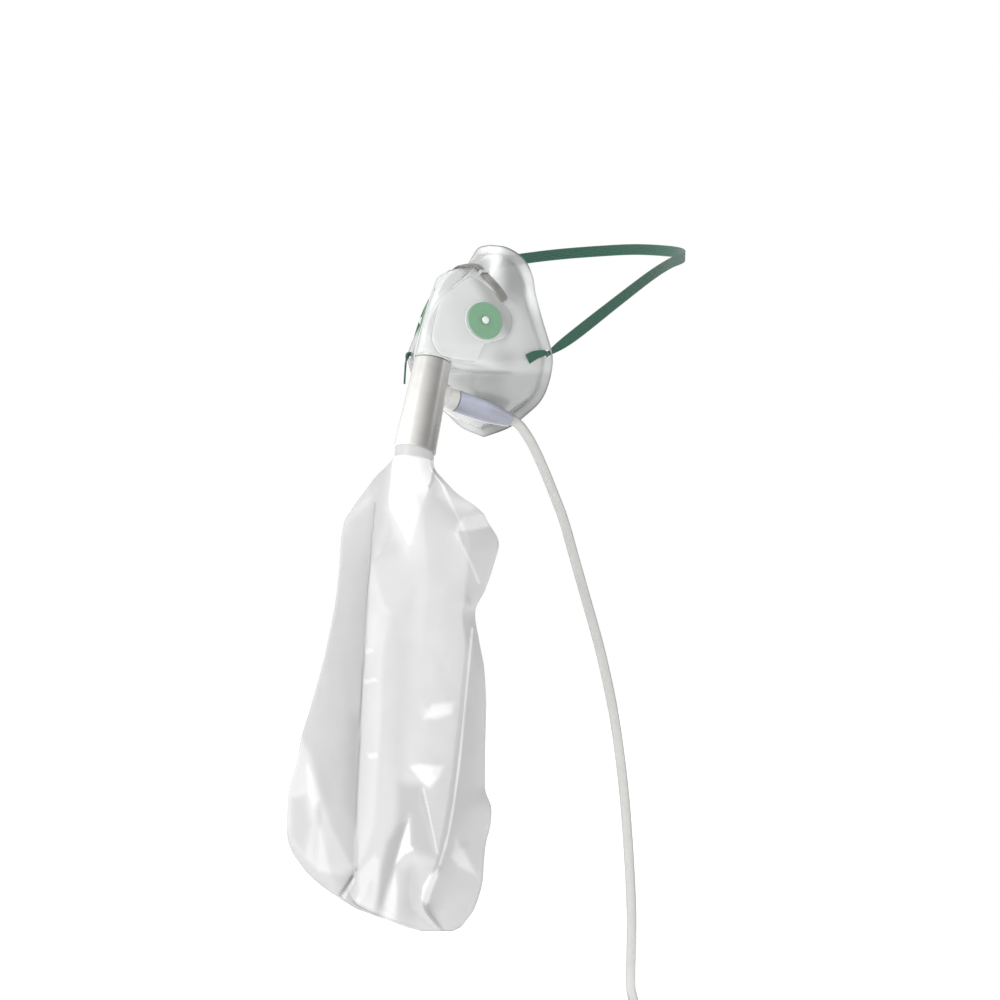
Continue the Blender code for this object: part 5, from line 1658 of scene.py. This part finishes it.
def bag_points(share):
    """World points of a ring. Near the neck the ring is round and square to the port's axis."""
    end = port_frame() @ Vector((0.0, 0.0, -body_length))
    turn = Matrix.Rotation(math.radians(bag_turn), 3, "Z")
    down = share * bag_length
    blend = smooth_step(down / bag_neck_blend)
    lean = Matrix.Rotation(-math.radians(port_lean) * (1 - blend), 3, "X")
    centre = end - (up_way if down > 0 else port_axis()) * down
    neck_radius = neck_seat_radius - gap
    fronts = sum(sheet_parts)
    points = []
    for k, (place, depth) in enumerate(bag_ring(max(share, 0.0))):
        angle = math.pi * (k / fronts - 1)
        if k > fronts:
            angle = math.pi * (k - fronts) / back_parts
        round_off = Vector((math.cos(angle), math.sin(angle), 0.0)) * neck_radius
        flat = round_off.lerp(Vector((place, -depth, 0.0)), blend)
        points.append(centre + lean @ turn @ flat)
    return points


def nearest_on_line(points, x, y):
    """How far the place is from the line, on which side, and at which share of its spans."""
    best = None
    for k, ((ax, ay), (bx, by)) in enumerate(zip(points, points[1:])):
        way_x = bx - ax
        way_y = by - ay
        f = ((x - ax) * way_x + (y - ay) * way_y) / (way_x * way_x + way_y * way_y)
        f = min(max(f, 0.0), 1.0)
        off_x = x - ax - way_x * f
        off_y = y - ay - way_y * f
        away = math.hypot(off_x, off_y)
        if best is None or away < best[0]:
            best = (away, off_x * way_y - off_y * way_x, (k + f) / (len(points) - 1))
    return best


def inside_patch(points, x, y):
    inside = False
    for (ax, ay), (bx, by) in zip(points, points[1:] + points[:1]):
        if (ay > y) != (by > y) and x < ax + (bx - ax) * (y - ay) / (by - ay):
            inside = not inside
    return inside


def film_tone(x, y, lines, blur=0.0):
    """Tone of the film at a place, with the painted light and shade of all the patches and lines
    there.
    """
    tone = film_plain
    for value, edge, points in film_light_and_shade_patches:
        soft = edge + blur
        if not in_reach(points, x, y, soft):
            continue
        away = nearest_on_line(points + points[:1], x, y)[0]
        if inside_patch(points, x, y):
            away = -away
        tone += (value - tone) * smooth_step(0.5 - 0.5 * away / soft)
    for value, half, points in lines:
        if in_reach(points, x, y, 2.0):
            away = nearest_on_line(points, x, y)[0]
            tone += (value - tone) * smooth_step(1.5 - away / half)
    return tone


def in_reach(points, x, y, reach):
    xs = [p[0] for p in points]
    ys = [p[1] for p in points]
    return min(xs) - reach < x < max(xs) + reach and min(ys) - reach < y < max(ys) + reach


def build_bag(material):
    """Film bag: a round neck in the connector's end that opens into two sheets."""
    shares = [-bag_neck_insert / bag_length, -0.4 * bag_neck_insert / bag_length, 0.0]
    shares += [outer_end * i / bag_rings for i in range(1, bag_rings + 1)]
    rings = [bag_points(share) for share in shares]
    count = len(rings[0])
    last = (len(rings) - 1) * count
    data = bpy.data.meshes.new("film_bag")
    data.from_pydata([tuple(p) for ring in rings for p in ring], [],
                     ring_faces(len(rings), count)
                     + [(last, *range(last + count - 1, last, -1))])
    item = add_object("film_bag", data)
    wall = item.modifiers.new("wall", "SOLIDIFY")
    wall.thickness = bag_film
    wall.offset = -1.0
    piece = settled(item, "film_bag", material, ["reservoir_bag"], 180.0)
    lay_film_tones(piece, count, last + count)


def lay_film_tones(piece, count, outer):
    """Painted light and shade of the outer wall's points, ring by ring, and then the same for the
    inner wall.
    """
    neck = port_frame() @ Vector((0.0, 0.0, -body_length))
    fronts = sum(sheet_parts)
    tones = []
    for index in range(outer):
        away = piece.data.vertices[index].co - neck
        place = (away.dot(right_way) / mm, -away.z / mm)
        if index % count > fronts:
            through = film_tone(*place, [], film_blur) - film_plain
            tones.append(film_back + film_through * through)
        else:
            tones.append(film_tone(*place, film_light_and_shade_lines))
    lay_values(piece, "tone", tones + tones)


def dress_node(name, material):
    """A CAD node that stays gets its finish."""
    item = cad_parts[name]
    item.data.materials.clear()
    item.data.materials.append(material)


# Floor, background and lamps

def floor_material():
    made, tree, shader = new_material("pale_floor")
    set_inputs(tree, shader, {
        "Base Color": blended(tree, noise_of(tree, 3.0), (0.93, 0.93, 0.93), (0.95, 0.95, 0.95)),
        "Roughness": 0.9,
        "Specular IOR Level": 0.1,
        "Emission Color": white,
        "Emission Strength": floor_glow,
    })
    return made


def put_floor():
    wide = floor_half_width
    level = coil_floor - 0.0002
    points = [(-wide, -wide, level), (wide, -wide, level), (wide, wide, level), (-wide, wide, level)]
    item = add_object("floor", mesh_of("floor", points, [(0, 1, 2, 3)]))
    item.data.materials.append(floor_material())


def on_stage(offset):
    """Way from the aim by its distances right, up and towards the camera."""
    return right_way * offset[0] + up_way * offset[1] + back_way * offset[2]


def put_lamp(name, offset, size, power):
    """Soft lamp that is turned to the aim."""
    data = bpy.data.lights.new(name, "AREA")
    data.shape = "RECTANGLE"
    data.size, data.size_y = size
    data.energy = power
    spot = on_stage(offset)
    add_object(name, data, axis_place(aim_point + spot, spot))


def put_lights():
    """Bright surroundings to the left, dim ones to the right, and soft lamps."""
    world = bpy.data.worlds.new("studio")
    world.use_nodes = True
    tree = world.node_tree
    place = add_node(tree, "ShaderNodeTexCoord").outputs["Generated"]
    side = add_node(tree, "ShaderNodeVectorMath", {"operation": "DOT_PRODUCT"},
                    {0: place, 1: on_stage(bright_side).normalized()})
    dim = ranged(tree, side.outputs["Value"], world_dim, world_bright, -1.0, 1.0)
    path = add_node(tree, "ShaderNodeLightPath")
    strength = add_node(tree, "ShaderNodeMix", {"data_type": "FLOAT"},
                        {0: path.outputs["Is Camera Ray"], 2: dim, 3: 1.0})
    set_inputs(tree, tree.nodes["Background"], {"Color": white, "Strength": strength.outputs[0]})
    bpy.context.scene.world = world
    for name, (offset, size, power) in lamps.items():
        put_lamp(name, offset, size, power)


right_way, back_way, aim_point = put_camera()
bpy.context.scene.view_settings.view_transform = "Standard"

vinyl = shell_vinyl("vinyl", 0.10, 0.5)
# Stud heads: milky vinyl that is in part a painted highlight
frosted_and_highlight = clear_plastic("frosted_vinyl_and_highlight", (0.80, 0.83, 0.81), (0.55, 0.60, 0.57), 0.80, 0.95, 0.20)
moulding = clear_plastic("moulding", (0.72, 0.71, 0.69), (0.52, 0.51, 0.49), 0.84, 0.97, 0.20, 0.7)
tube_moulding = clear_plastic("tube_moulding", (0.80, 0.79, 0.765), (0.62, 0.61, 0.585), 0.86, 0.97,
                              0.22, 0.6, shaded=True)
film = film_material("film", 0.82, 0.30, 0.35)
lilac = clear_plastic("lilac", (0.42, 0.435, 0.53), (0.33, 0.34, 0.43), 0.76, 0.95, 0.18, 0.7,
                      shaded=True)
tube_vinyl = clear_plastic("tube_vinyl", (0.58, 0.58, 0.56), (0.22, 0.22, 0.21), 0.66, 0.97, 0.12)
green = soft_rubber("green_rubber", (0.195, 0.365, 0.235), (0.165, 0.325, 0.200), 0.45, 400.0)
pale = soft_rubber("pale_rubber", (0.72, 0.74, 0.72), (0.66, 0.68, 0.66), 0.45, 400.0)
alloy = rolled_metal("alloy", (0.36, 0.35, 0.33), (0.25, 0.24, 0.225))
elastic = woven_elastic("elastic", (0.032, 0.140, 0.092), (0.007, 0.040, 0.026))
band = soft_rubber("white_band", (0.80, 0.80, 0.79), (0.72, 0.72, 0.71), 0.5, 300.0)

near_cuff = build_cuff("lilac_cuff", "inlet_cuff", lilac, cuff_place())
end_cuff = build_cuff("supply_end_cuff", "supply_cuff", lilac, far_cuff_place())
build_tubing(tube_vinyl)
build_shell(vinyl)
for name, side in (("left", 1), ("right", -1)):
    build_disc("green_flap_" + name, "valve_disc_" + name, side, green)
    build_stud("stud_head_" + name, side, frosted_and_highlight)
build_clip(alloy)
build_strap(elastic)
build_connector(tube_moulding)
build_bag(film)
dress_node("tubing_tie", band)
dress_node("bag_neck_ring", moulding)
dress_node("inhale_valve_disc", pale)
put_floor()
put_lights()
